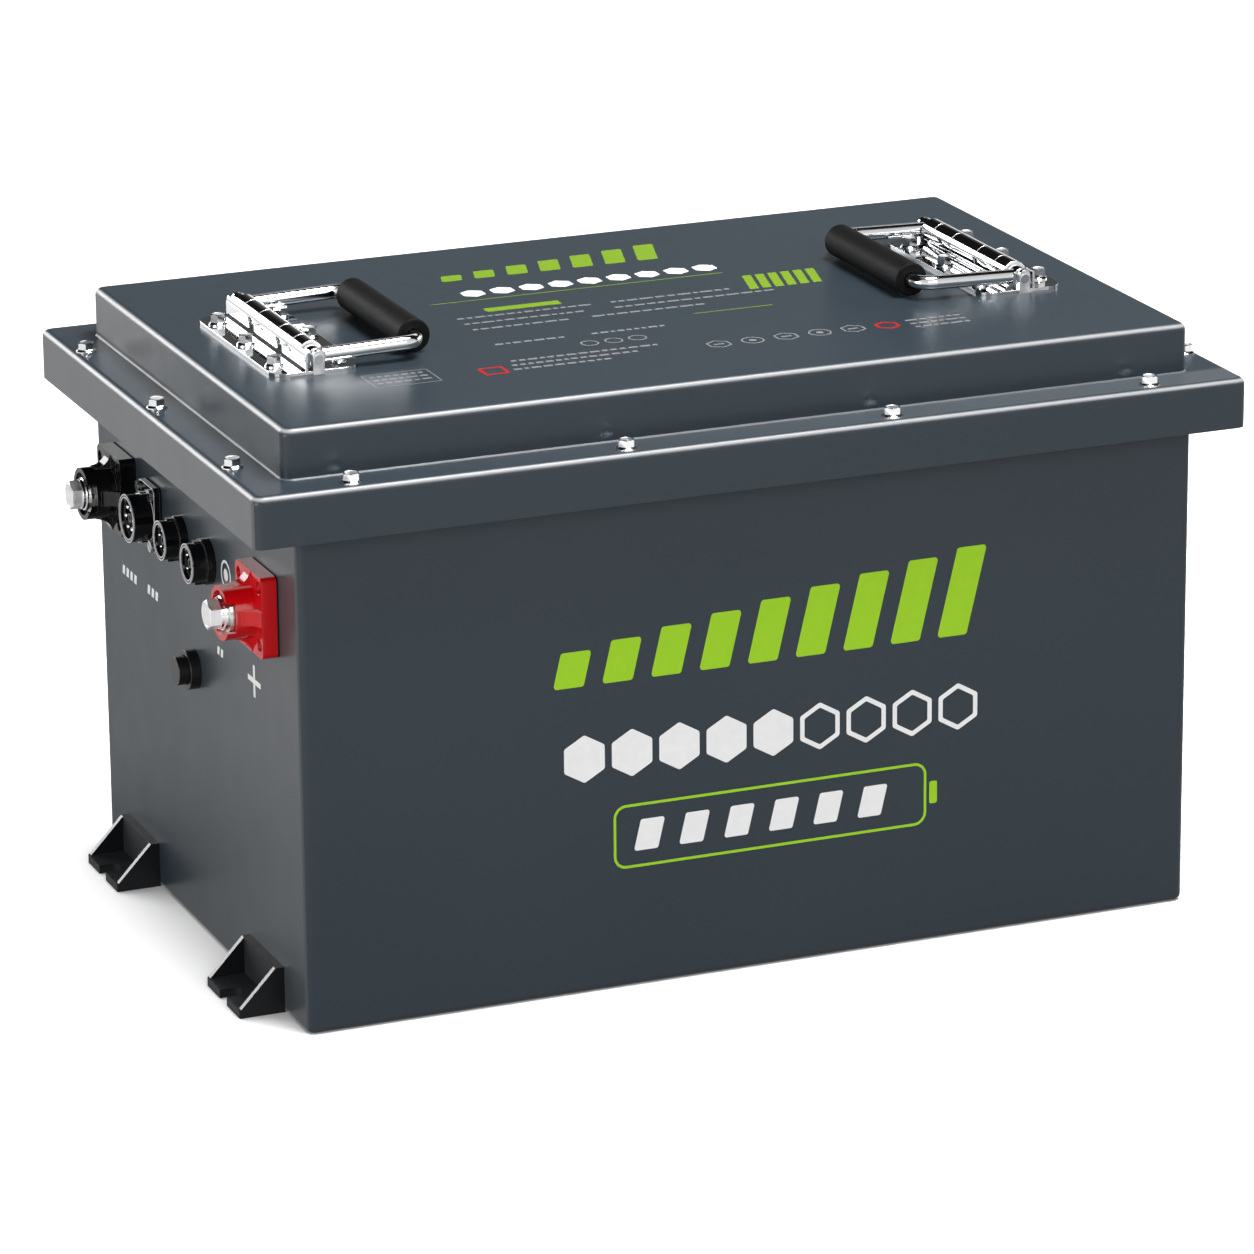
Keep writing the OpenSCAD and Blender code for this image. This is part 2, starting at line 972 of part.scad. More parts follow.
module conductor(s) {
    color("#c9a24a")
        on_end(s * terminal_y, terminal_z)
            difference() {
                union() {
                    translate([0, 0, shroud_floor_d])
                        cylinder(r = conductor_r, h = conductor_d - shroud_floor_d);
                    translate([0, 0, shroud_floor_d - neck_l])
                        cylinder(r = neck_r, h = neck_l + eps);
                }
                translate([0, 0, stud_hole_floor])
                    cylinder(r = m8_r + thread_gap, h = conductor_d);
            }
}

module positive_conductor() {
    conductor(-1);
}

module negative_conductor() {
    conductor(1);
}

module terminal_bolt(s) {
    color("#d2d5d8")
        on_end(s * terminal_y, terminal_z)
            translate([0, 0, conductor_d + 2 * washer_t]) {
                hex_head(m8_af, m8_head_h);
                translate([0, 0, stud_hole_floor + 1 - conductor_d - 2 * washer_t])
                    cylinder(r = m8_r, h = conductor_d + 2 * washer_t - stud_hole_floor - 1 + eps);
            }
}

module positive_bolt() {
    terminal_bolt(-1);
}

module negative_bolt() {
    terminal_bolt(1);
}

module ring(outer_r, inner_r, t) {
    difference() {
        cylinder(r = outer_r, h = t);
        translate([0, 0, -eps])
            cylinder(r = inner_r, h = t + 2 * eps);
    }
}

// Flat washer with a split spring washer on it
module terminal_washers(s) {
    color("#c4c8cb")
        on_end(s * terminal_y, terminal_z)
            translate([0, 0, conductor_d]) {
                ring(flat_washer_r, m8_r + fit_gap, washer_t);
                translate([0, 0, washer_t])
                    difference() {
                        ring(spring_washer_r, m8_r + fit_gap, washer_t);
                        rotate([0, 0, 200])
                            translate([0, -fit_gap, -eps])
                                cube([flat_washer_r, 2 * fit_gap, washer_t + 2 * eps]);
                    }
            }
}

module positive_washers() {
    terminal_washers(-1);
}

module negative_washers() {
    terminal_washers(1);
}

module terminal_gaskets() {
    color("#202020")
        for (s = [-1, 1])
            on_end(s * terminal_y, terminal_z)
                difference() {
                    linear_extrude(terminal_gasket_t)
                        rounded_rect(base_h, base_w, base_r);
                    translate([0, 0, -eps])
                        cylinder(r = terminal_tail_r + fit_gap, h = terminal_gasket_t + 2 * eps);
                    translate([0, 0, -eps])
                        terminal_screw_places()
                            cylinder(r = m3_r + fit_gap, h = terminal_gasket_t + 2 * eps);
                }
}

module terminal_screws() {
    color("#b0b4b8")
        for (s = [-1, 1])
            on_end(s * terminal_y, terminal_z)
                translate([0, 0, scoop_floor_d])
                    terminal_screw_places()
                        rotate([0, 0, 35])
                            slotted_screw(m3_l);
}

module terminal_nuts() {
    color("#b8bcc0")
        for (s = [-1, 1])
            on_end(s * terminal_y, terminal_z)
                translate([0, 0, -sheet_t - terminal_tail_d - lug_t - terminal_nut_t])
                    hex_nut(terminal_nut_af, terminal_nut_t, neck_r + thread_gap);
}

// ---- connectors ----

// Locking keys at the top and bottom of a barrel, on the face at distance d
module keys(r, d) {
    for (turn = [0, 180])
        rotate([0, 0, turn])
            translate([r - eps, -key_w / 2, d - eps])
                cube([key_rise + eps, key_w, key_d + eps]);
}

module charge_shell() {
    color("#16171a")
        on_end(charge_y, port_z)
            difference() {
                union() {
                    translate([0, 0, charge_gasket_t])
                        linear_extrude(charge_flange_t)
                            rounded_rect(charge_flange_h, charge_flange_w, base_r);
                    translate([0, 0, charge_gasket_t])
                        cylinder(r = charge_barrel_r, h = charge_d - charge_gasket_t);
                    keys(charge_barrel_r, charge_gasket_t + charge_flange_t);
                    translate([0, 0, -insert_tail])
                        cylinder(r = charge_tail_r + shell_wall, h = insert_tail + charge_d / 2);
                }
                translate([0, 0, charge_insert_d])
                    cylinder(r = charge_bore_r, h = charge_d);
                translate([0, 0, -insert_tail - eps])
                    cylinder(r = charge_tail_r, h = insert_tail + charge_d);
                charge_screw_places()
                    cylinder(r = m3_r + fit_gap, h = charge_d);
            }
}

// Flush insert with a ring of sunk contacts
module insert(r, face_d, count, ring_r, hole_r) {
    difference() {
        translate([0, 0, -insert_tail])
            cylinder(r = r, h = insert_tail + face_d);
        for (k = [0 : count - 1])
            rotate([0, 0, 360 * k / count])
                translate([ring_r, 0, face_d - contact_depth])
                    cylinder(r = hole_r, h = contact_depth + eps);
        translate([0, 0, face_d - contact_depth])
            cylinder(r = hole_r, h = contact_depth + eps);
    }
}

module charge_insert() {
    color("#2a2c30")
        on_end(charge_y, port_z)
            insert(
                charge_tail_r - fit_gap,
                charge_insert_d - insert_sink,
                3,
                charge_contact_ring_r,
                charge_contact_r
            );
}

module charge_screws() {
    color("#3a3c40")
        on_end(charge_y, port_z)
            translate([0, 0, charge_gasket_t + charge_flange_t])
                charge_screw_places()
                    rotate([0, 0, 50])
                        slotted_screw(m3_l);
}

module charge_gasket() {
    color("#101010")
        on_end(charge_y, port_z)
            difference() {
                linear_extrude(charge_gasket_t)
                    rounded_rect(charge_flange_h, charge_flange_w, base_r);
                translate([0, 0, -eps])
                    cylinder(r = charge_tail_r + shell_wall + fit_gap, h = charge_gasket_t + 2 * eps);
                translate([0, 0, -eps])
                    charge_screw_places()
                        cylinder(r = m3_r + fit_gap, h = charge_gasket_t + 2 * eps);
            }
}

module port_shell(y) {
    color("#16171a")
        on_end(y, port_z)
            difference() {
                union() {
                    cylinder(r = port_collar_r, h = port_collar_t);
                    cylinder(r = port_barrel_r, h = port_d);
                    keys(port_barrel_r, port_collar_t);
                    translate([0, 0, -port_tail])
                        cylinder(r = port_thread_r, h = port_tail + eps);
                }
                translate([0, 0, port_insert_d])
                    cylinder(r = port_bore_r, h = port_d);
                translate([0, 0, -port_tail - eps])
                    cylinder(r = port_tail_r, h = port_tail + port_d);
            }
}

module port_insert(y, count) {
    color("#2a2c30")
        on_end(y, port_z)
            insert(port_tail_r - fit_gap, port_insert_d - insert_sink, count, contact_ring_r, contact_r);
}

module data_shell() {
    port_shell(data_y);
}

module data_insert() {
    port_insert(data_y, 6);
}

module display_shell() {
    port_shell(display_y);
}

module display_insert() {
    port_insert(display_y, 4);
}

module port_nuts() {
    color("#b8bcc0")
        for (y = [data_y, display_y])
            on_end(y, port_z)
                translate([0, 0, -sheet_t - port_nut_t])
                    hex_nut(port_nut_af, port_nut_t, port_thread_r + thread_gap);
}

// ---- button ----

module button_bezel() {
    color("#141516")
        on_end(button_y, button_z)
            difference() {
                union() {
                    cylinder(r = bezel_r, h = bezel_t);
                    translate([0, 0, -button_tail])
                        cylinder(r = button_thread_r, h = button_tail + eps);
                }
                translate([0, 0, cap_stop_d])
                    cylinder(r = cap_r + fit_gap, h = bezel_t);
                translate([0, 0, button_floor_t - button_tail])
                    cylinder(r = cap_flange_r + move_gap, h = button_tail - button_floor_t + cap_stop_d);
            }
}

module button_cap() {
    color("#0f1011")
        on_end(button_y, button_z) {
            translate([0, 0, cap_stop_d - fit_gap - cap_flange_t])
                cylinder(r = cap_flange_r, h = cap_flange_t);
            translate([0, 0, cap_stop_d - fit_gap - cap_flange_t / 2])
                cylinder(r = cap_r, h = cap_d - cap_stop_d + fit_gap + cap_flange_t / 2);
        }
}

module button_spring() {
    spring_base = button_floor_t - button_tail + button_spring_wire / 2;
    spring_top = cap_stop_d - fit_gap - cap_flange_t - button_spring_wire / 2 - 0.1;
    color("#9aa0a6")
        on_end(button_y, button_z)
            translate([0, 0, spring_base])
                tube(
                    coil(
                        button_spring_r,
                        (spring_top - spring_base) / button_spring_turns,
                        button_spring_turns,
                        coil_steps
                    ),
                    button_spring_wire / 2,
                    coil_sides,
                    [0, 0, 1]
                );
}

module button_nut() {
    color("#b8bcc0")
        on_end(button_y, button_z)
            translate([0, 0, -sheet_t - port_nut_t])
                hex_nut(button_nut_af, port_nut_t, button_thread_r + thread_gap);
}

// ---- cell pack ----

module cell_places(row) {
    for (i = [0 : row_count - 1])
        translate([first_cell_x + i * cell_pitch, row * (row_gap + cell_l / 2), 0])
            children();
}

module cells(row) {
    color("#2f5f8f")
        cell_places(row) {
            translate([0, 0, cell_z + cell_h / 2])
                cube([cell_t, cell_l, cell_h], center = true);
            for (s = [-1, 1])
                translate([0, s * post_offset, cell_top - eps]) {
                    cylinder(r = post_r, h = post_h + eps);
                    cylinder(r = stud_r, h = stud_top - cell_top + eps);
                }
        }
}

module front_cells() {
    cells(-1);
}

module rear_cells() {
    cells(1);
}

module cell_divider() {
    color("#d8dcc8")
        translate([pack_start, fit_gap - row_gap, cell_z])
            cube([row_count * cell_pitch, 2 * (row_gap - fit_gap), cell_h]);
}

module end_plates() {
    color("#b9bec2")
        for (x = [pack_start - end_plate_t, pack_end])
            translate([x, -pack_w / 2, cell_z])
                cube([end_plate_t, pack_w, cell_h - end_plate_drop]);
}

module pack_straps() {
    strap_l = row_count * cell_pitch + 2 * end_plate_t;
    color("#8f9498")
        for (i = [0, 1])
            translate([(pack_start + pack_end) / 2, 0, strap_low_z + i * strap_pitch])
                linear_extrude(strap_h)
                    difference() {
                        square([strap_l + 2 * strap_t, pack_w + 2 * strap_t], center = true);
                        square([strap_l, pack_w], center = true);
                    }
}

// Flat link between two studs, along x or, turned, along y
module link(l) {
    difference() {
        translate([-busbar_w / 2 + 2, -busbar_w / 2, 0])
            cube([l + busbar_w - 4, busbar_w, busbar_t]);
        for (x = [0, l])
            translate([x, 0, -eps])
                cylinder(r = stud_r + fit_gap, h = busbar_t + 2 * eps);
    }
}

module busbars() {
    color("#c27a3e")
        translate([0, 0, busbar_z]) {
            for (row = [-1, 1], i = [0 : row_count - 2])
                translate([
                    first_cell_x + i * cell_pitch,
                    row * (row_gap + cell_l / 2 + (i % 2 == 0 ? post_offset : -post_offset)),
                    0
                ])
                    link(cell_pitch);
            translate([first_cell_x + (row_count - 1) * cell_pitch, -inner_post_y, 0])
                rotate([0, 0, 90])
                    link(2 * inner_post_y);
        }
}

module busbar_nuts() {
    color("#c4c8cb")
        for (row = [-1, 1])
            cell_places(row)
                for (s = [-1, 1])
                    translate([0, s * post_offset, busbar_z + busbar_t])
                        hex_nut(m6_af, m6_h, stud_r + thread_gap);
}

module floor_pad() {
    color("#3a3a3a")
        translate([pack_start - end_plate_t, -pack_w / 2, sheet_t])
            cube([row_count * cell_pitch + 2 * end_plate_t, pack_w, floor_pad_t]);
}

module top_insulator() {
    color("#d9d2a8")
        difference() {
            translate([pack_start, -pack_w / 2, stud_top])
                cube([row_count * cell_pitch, pack_w, insulator_t]);
            for (s = [-1, 1])
                translate([pack_start - eps, s * inner_post_y - cable_slot_w / 2, stud_top - eps])
                    cube([cable_slot_l, cable_slot_w, insulator_t + 2 * eps]);
        }
}

module top_foam() {
    color("#4a4a4a")
        for (s = [-1, 1])
            translate([pack_start, s * foam_y - foam_w / 2, stud_top + insulator_t])
                cube([row_count * cell_pitch, foam_w, inner_top - stud_top - insulator_t]);
}

// ---- control board and cables ----

module bms_bracket() {
    color("#aab0b5") {
        translate([bracket_x - sheet_t, -bracket_w / 2, sheet_t])
            cube([sheet_t, bracket_w, bracket_h]);
        translate([bracket_x - bracket_foot, -bracket_w / 2, sheet_t])
            cube([bracket_foot, bracket_w, sheet_t]);
    }
}

module standoff_places() {
    for (y = [-1, 1], z = [0, 1])
        translate([
            bracket_x - sheet_t - sink_t,
            y * (sink_w / 2 - 2 * standoff_r),
            sink_z + 2 * standoff_r + z * (sink_h - 4 * standoff_r)
        ])
            rotate([0, -90, 0])
                children();
}

module bms_heatsink() {
    color("#c5c9cc") {
        translate([bracket_x - sheet_t - sink_t, -sink_w / 2, sink_z])
            cube([sink_t, sink_w, sink_h]);
        for (k = [0 : fin_count - 1])
            translate([
                bracket_x - sheet_t - sink_t - fin_h,
                -fin_span / 2 + k * fin_span / (fin_count - 1) - fin_t / 2,
                sink_z
            ])
                cube([fin_h + eps, fin_t, sink_h]);
        translate([eps, 0, 0])
            standoff_places()
                cylinder(r = standoff_r, h = standoff_l + eps);
    }
}

module bms_board() {
    color("#1f6b3a") {
        translate([board_x - board_t, -sink_w / 2, sink_z])
            cube([board_t, sink_w, sink_h]);
        for (k = [0 : switch_count - 1])
            translate([
                board_x - board_t - switch_size[0],
                (k - switch_count / 2) * switch_pitch,
                sink_z + switch_z
            ])
                cube(switch_size + [eps, 0, 0]);
        translate([board_x - board_t - socket_size[0], -socket_y, sink_z + socket_z])
            cube(socket_size + [eps, 0, 0]);
        for (k = [0 : can_count - 1])
            board_post(k * can_pitch - socket_y, can_z, can_h);
        for (y = lug_block_y)
            board_post(y, lug_block_z, lug_block_h);
    }
}

// Round post on the board's face
module board_post(y, z, h) {
    translate([board_x - board_t + eps, y, sink_z + z])
        rotate([0, -90, 0])
            cylinder(r = can_r, h = h + eps);
}

// Ring lug on the conductor's neck, with its barrel down
module terminal_lug(s) {
    on_end(s * terminal_y, terminal_z)
        translate([0, 0, -sheet_t - terminal_tail_d - lug_t]) {
            difference() {
                union() {
                    cylinder(r = inner_lug_r, h = lug_t);
                    translate([-16, -cable_r, 0])
                        cube([16, 2 * cable_r, lug_t]);
                }
                translate([0, 0, -eps])
                    cylinder(r = neck_r + fit_gap, h = lug_t + 2 * eps);
            }
        }
}

// Ring lug on a cell's inner post
module cell_lug(s) {
    translate([first_cell_x, s * inner_post_y, busbar_z])
        difference() {
            union() {
                cylinder(r = cell_lug_r, h = busbar_t);
                translate([-18, -cable_r, 0])
                    cube([18, 2 * cable_r, busbar_t]);
            }
            translate([0, 0, -eps])
                cylinder(r = stud_r + fit_gap, h = busbar_t + 2 * eps);
        }
}

// Where a cable leaves the terminal's lug
function lug_exit(s) = [
    -tank_l / 2 + sheet_t + terminal_tail_d + lug_t / 2 + cable_r - 0.4,
    s * terminal_y,
    terminal_z - 14
];

// Where a cable leaves the cell's lug
function cell_exit(s) = [first_cell_x - 14, s * inner_post_y, busbar_z + cable_r + 1];

module positive_cable() {
    color("#b01818") {
        terminal_lug(-1);
        cell_lug(-1);
        tube(
            [
                lug_exit(-1),
                lug_exit(-1) + [0, 0, -16],
                lug_exit(-1) + [5, 0, -26],
                lug_exit(-1) + [16, 2, -30],
                lug_exit(-1) + [28, 5, -24],
                lug_exit(-1) + [36, 8, -8],
                lug_exit(-1) + [44, 14, 18],
                lug_exit(-1) + [56, 24, 36],
                [bracket_x - 12, -(inner_post_y + 24), stud_top + 8],
                [bracket_x + 4, -(inner_post_y + 8), stud_top + 4],
                cell_exit(-1) + [-8, 0, 1],
                cell_exit(-1)
            ],
            cable_r,
            cable_sides,
            [0.2, 1, 0.35]
        );
    }
}

// One length from the terminal to the board, one from the board to the cells
module negative_cable() {
    board_face = board_x - board_t - lug_block_h - move_gap;
    color("#1a1a1a") {
        terminal_lug(1);
        cell_lug(1);
        tube(
            [
                lug_exit(1),
                lug_exit(1) + [0, 0, -16],
                lug_exit(1) + [5, -1, -30],
                lug_exit(1) + [18, -6, -42],
                [board_face - 26, lug_block_y[1] + 10, sink_z + lug_block_z + 10],
                [board_face - 12, lug_block_y[1], sink_z + lug_block_z],
                [board_face, lug_block_y[1], sink_z + lug_block_z]
            ],
            cable_r,
            cable_sides,
            [0.2, 0.35, 1]
        );
        tube(
            [
                [board_face, lug_block_y[0], sink_z + lug_block_z],
                [board_face - 8, lug_block_y[0], sink_z + lug_block_z],
                [board_face - 16, lug_block_y[0], sink_z + lug_block_z + 10],
                [board_face - 18, lug_block_y[0], sink_z + lug_block_z + 40],
                [board_face - 12, lug_block_y[0], sink_z + lug_block_z + 78],
                [board_face, lug_block_y[0] - 1, stud_top + 2],
                [bracket_x - 12, 37, stud_top + 8],
                [bracket_x + 4, 34, stud_top + 4],
                cell_exit(1) + [-8, 0, 1],
                cell_exit(1)
            ],
            cable_r,
            cable_sides,
            [0.2, 1, 0.35]
        );
    }
}

tank();
front_foot();
rear_foot();
foot_screws();
rim_gasket();
lid();
lid_bolts();
rim_nuts();
left_handle_plate();
left_handle_pin();
left_handle_spring();
left_bail();
left_grip();
right_handle_plate();
right_handle_pin();
right_handle_spring();
right_bail();
right_grip();
handle_screws();
handle_nuts();
positive_housing();
positive_conductor();
positive_bolt();
positive_washers();
negative_housing();
negative_conductor();
negative_bolt();
negative_washers();
terminal_gaskets();
terminal_screws();
terminal_nuts();
charge_shell();
charge_insert();
charge_screws();
charge_gasket();
data_shell();
data_insert();
display_shell();
display_insert();
port_nuts();
button_bezel();
button_cap();
button_spring();
button_nut();
front_cells();
rear_cells();
cell_divider();
end_plates();
pack_straps();
busbars();
busbar_nuts();
floor_pad();
top_insulator();
top_foam();
bms_board();
bms_heatsink();
bms_bracket();
positive_cable();
negative_cable();
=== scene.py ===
"""Looks of the deep cycle battery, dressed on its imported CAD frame.

Sizes are in millimetres, turned to metres by MM. Shader limits, lamps and the camera are in metres.
"""
import json
import math
import random

import bmesh
import bpy
from mathutils import Matrix, Vector


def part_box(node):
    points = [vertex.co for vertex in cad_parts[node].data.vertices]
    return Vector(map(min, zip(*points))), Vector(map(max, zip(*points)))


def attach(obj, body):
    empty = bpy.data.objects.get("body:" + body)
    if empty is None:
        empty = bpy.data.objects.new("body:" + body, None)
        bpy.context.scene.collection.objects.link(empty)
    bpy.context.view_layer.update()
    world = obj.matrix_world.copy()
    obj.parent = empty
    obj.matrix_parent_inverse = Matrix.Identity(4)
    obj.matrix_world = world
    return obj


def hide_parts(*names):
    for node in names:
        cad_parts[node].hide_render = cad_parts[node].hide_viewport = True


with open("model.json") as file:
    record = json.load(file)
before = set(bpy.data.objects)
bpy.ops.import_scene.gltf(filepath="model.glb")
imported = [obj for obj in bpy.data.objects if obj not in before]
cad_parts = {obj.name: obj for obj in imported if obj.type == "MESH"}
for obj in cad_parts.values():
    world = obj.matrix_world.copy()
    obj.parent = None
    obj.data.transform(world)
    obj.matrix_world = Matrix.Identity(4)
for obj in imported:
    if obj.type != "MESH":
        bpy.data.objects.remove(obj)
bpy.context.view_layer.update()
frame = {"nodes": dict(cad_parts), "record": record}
nodes = frame["nodes"]
body_of = {node: body for body, members in frame["record"]["behaviour"]["bodies"].items() for node in members}
slot_of = {part["node"]: part["material_slot"] for part in frame["record"]["subparts"]}
MM = 0.001
TAU = 2 * math.pi

# ---------------------------------------------------------------- camera

IMAGE_PIXELS = 1254
FOCAL_PIXELS = 6146
SENSOR_MM = 36
CAMERA_PLACE = (-1.06616, -2.61086, 1.02626)
CAMERA_RIGHT = (0.925256, -0.379245, -0.008662)
CAMERA_FORWARD = (0.358739, 0.882193, -0.305029)
camera_data = bpy.data.cameras.new("camera")
camera_data.sensor_width = SENSOR_MM
camera_data.lens = FOCAL_PIXELS / IMAGE_PIXELS * SENSOR_MM
camera_data.clip_end = 60
camera = bpy.data.objects.new("camera", camera_data)
bpy.context.scene.collection.objects.link(camera)
bpy.context.scene.camera = camera
right = Vector(CAMERA_RIGHT).normalized()
forward = Vector(CAMERA_FORWARD)
forward = (forward - right * forward.dot(right)).normalized()
up = right.cross(forward)
camera.matrix_world = Matrix.Translation(CAMERA_PLACE) @ Matrix((right, up, -forward)).transposed().to_4x4()

# ---------------------------------------------------------------- materials


class Nodes:
    """Short calls for building one material's node tree."""

    def __init__(self, name):
        self.material = bpy.data.materials.new(name)
        self.material.use_nodes = True
        self.tree = self.material.node_tree
        self.shader = self.tree.nodes["Principled BSDF"]

    def add(self, kind, **values):
        node = self.tree.nodes.new(kind)
        for key, value in values.items():
            if key in node.inputs:
                node.inputs[key].default_value = value
            else:
                setattr(node, key.lower(), value)
        return node

    def link(self, source, target):
        self.tree.links.new(source, target)

    def set(self, **values):
        for key, value in values.items():
            self.shader.inputs[key.replace("_", " ")].default_value = value

    def noise(self, scale, detail=3.0, stretch=(1, 1, 1)):
        """Noise in object space; scale is in cycles per metre."""
        coordinates = self.add("ShaderNodeTexCoord")
        mapping = self.add("ShaderNodeMapping")
        mapping.inputs["Scale"].default_value = stretch
        self.link(coordinates.outputs["Object"], mapping.inputs["Vector"])
        noise = self.add("ShaderNodeTexNoise", Scale=scale, Detail=detail)
        self.link(mapping.outputs["Vector"], noise.inputs["Vector"])
        return noise

    def ramp(self, source, low, high, start=0.3, end=0.7):
        """Spreads a 0 to 1 value between two colours or grey levels."""
        ramp = self.add("ShaderNodeValToRGB")
        for element, place, value in zip(ramp.color_ramp.elements, (start, end), (low, high)):
            element.position = place
            element.color = (*value, 1) if isinstance(value, tuple) else (value, value, value, 1)
        self.link(source, ramp.inputs["Fac"])
        return ramp.outputs["Color"]

    def bump(self, source, distance, strength):
        bump = self.add("ShaderNodeBump", Strength=strength, Distance=distance)
        self.link(source, bump.inputs["Height"])
        self.link(bump.outputs["Normal"], self.shader.inputs["Normal"])

    def range(self, source, start, end, low=0.0, high=1.0):
        """Moves smoothly from low to high while the source goes from start to end."""
        step = self.add("ShaderNodeMapRange", interpolation_type="SMOOTHSTEP")
        for name, value in zip(("From Min", "From Max", "To Min", "To Max"), (start, end, low, high)):
            step.inputs[name].default_value = value
        self.link(source, step.inputs["Value"])
        return step.outputs["Result"]

    def size(self, source):
        """The value without its sign."""
        node = self.add("ShaderNodeMath", operation="ABSOLUTE")
        self.link(source, node.inputs[0])
        return node.outputs[0]

    def off(self, source, level):
        """How far the value is above a level."""
        node = self.add("ShaderNodeMath", operation="SUBTRACT")
        node.inputs[1].default_value = level
        self.link(source, node.inputs[0])
        return node.outputs[0]

    def product(self, first, second):
        node = self.add("ShaderNodeMath", operation="MULTIPLY")
        self.link(first, node.inputs[0])
        self.link(second, node.inputs[1])
        return node.outputs[0]

    def total(self, first, second):
        node = self.add("ShaderNodeMath", operation="ADD")
        self.link(first, node.inputs[0])
        self.link(second, node.inputs[1])
        return node.outputs[0]

    def blend(self, below, colour, share):
        """A colour laid over another by a share from 0 to 1."""
        node = self.add("ShaderNodeMix", data_type="RGBA")
        node.inputs["B"].default_value = (*colour, 1)
        self.link(below, node.inputs["A"])
        self.link(share, node.inputs["Factor"])
        return node.outputs["Result"]


# The case is one even powder coat, PAINT. The tones below are painted light laid over it by place and by the way
# a face looks: painted highlights along the upward folds, and paler painted light on the ledge's front and back
# strips, the end wall below the lid, the lid skirt's end and the plinth's end. They stand for the light of one studio
# view,
# not for other paint: full tone, then where it starts and ends. FOOT is the bend at the foot of the raised middle,
# whose painted highlight is fainter. With none of them, the case is PAINT all over.
PAINT = ((0.0235, 0.0345, 0.0445), (0.0265, 0.0375, 0.0475))
FOLD_HIGHLIGHT = (0.34, 0.345, 0.35)
FOLD_LOW, FOLD_HIGH = (0.3, 0.68), (0.72, 0.97)
FOOT_Z, FOOT_NEAR, FOOT_SHARE = 0.2615, (2e-6, 6e-6), 0.3
LEDGE_LIGHT = (0.07, 0.083, 0.093)
LEDGE_Z, LEDGE_Y, LEDGE_X = (0.262, 0.264), (0.136, 0.141), (-0.24, 0.2)
WALL_LIGHT = (0.062, 0.072, 0.08)
WALL_Z, WALL_Y = (0.236, 0.238), (-0.17, 0.1)
SKIRT_LIGHT = (0.12, 0.128, 0.133)
SKIRT_X = (-0.2435, -0.2425)
PLINTH_LIGHT = (0.15, 0.158, 0.164)
PLINTH_Z, PLINTH_Y = (0.262, 0.263), (-0.08, 0.12)


def paint_material():
    """Fine satin powder coat with slight orange peel, with painted light and painted highlights laid over it."""
    m = Nodes("case_paint")
    m.set(Specular_IOR_Level=0.32)
    coat = m.ramp(m.noise(6, 2).outputs["Fac"], *PAINT)
    place = m.add("ShaderNodeTexCoord")
    normal = m.add("ShaderNodeSeparateXYZ")
    m.link(place.outputs["Normal"], normal.inputs[0])
    point = m.add("ShaderNodeSeparateXYZ")
    m.link(place.outputs["Object"], point.inputs[0])
    slope, x, y, z = normal.outputs["Z"], point.outputs["X"], point.outputs["Y"], point.outputs["Z"]
    fold = m.product(
        m.product(m.range(slope, *FOLD_LOW), m.range(slope, *FOLD_HIGH, 1, 0)),
        m.range(m.product(m.off(z, FOOT_Z), m.off(z, FOOT_Z)), *FOOT_NEAR, FOOT_SHARE, 1),
    )
    ledge = m.product(
        m.product(m.range(slope, 0.97, 0.99), m.range(x, *LEDGE_X, 0.1, 1)),
        m.product(m.range(z, *LEDGE_Z, 1, 0), m.range(m.size(y), *LEDGE_Y)),
    )
    facing_end = m.range(normal.outputs["X"], -0.9, -0.8, 1, 0)
    skirt = m.product(facing_end, m.range(x, *SKIRT_X, 1, 0))
    wall = m.product(m.product(facing_end, m.range(z, *WALL_Z, 1, 0)), m.range(y, *WALL_Y, 1, 0))
    plinth = m.product(m.product(facing_end, m.range(z, *PLINTH_Z)), m.range(y, *PLINTH_Y))
    # Painted light: each share lays a paler tone where the light or a highlight of one studio view falls.
    tones = (
        (LEDGE_LIGHT, ledge), (WALL_LIGHT, wall), (SKIRT_LIGHT, skirt), (PLINTH_LIGHT, plinth), (FOLD_HIGHLIGHT, fold)
    )
    for tone, share in tones:
        coat = m.blend(coat, tone, share)
    m.link(coat, m.shader.inputs["Base Color"])
    m.link(m.ramp(m.noise(40, 3).outputs["Fac"], 0.29, 0.34), m.shader.inputs["Roughness"])
    m.bump(m.noise(900, 2).outputs["Fac"], 0.00004, 0.25)
    return m.material


def chrome_material(name, tint, roughness):
    """Bright steel with very light rolling and handling marks."""
    m = Nodes(name)
    m.set(Metallic=1.0)
    darker = tuple(c * 0.93 for c in tint)
    marks = m.noise(300, 4, stretch=(1, 0.2, 1)).outputs["Fac"]
    m.link(m.ramp(m.noise(120, 3).outputs["Fac"], darker, tint), m.shader.inputs["Base Color"])
    m.link(m.ramp(marks, roughness * 0.6, roughness * 1.4), m.shader.inputs["Roughness"])
    m.bump(m.noise(180, 2).outputs["Fac"], 0.00003, 0.3)
    return m.material


def ink_material(name, colour):
    """Screen-printed ink, a little uneven where it went on thin."""
    m = Nodes(name)
    m.set(Specular_IOR_Level=0.25)
    thin = tuple(c * 0.96 for c in colour)
    m.link(m.ramp(m.noise(260, 4).outputs["Fac"], thin, colour), m.shader.inputs["Base Color"])
    m.link(m.ramp(m.noise(90, 3).outputs["Fac"], 0.36, 0.48), m.shader.inputs["Roughness"])
    m.bump(m.noise(900, 2).outputs["Fac"], 0.00004, 0.25)
    return m.material


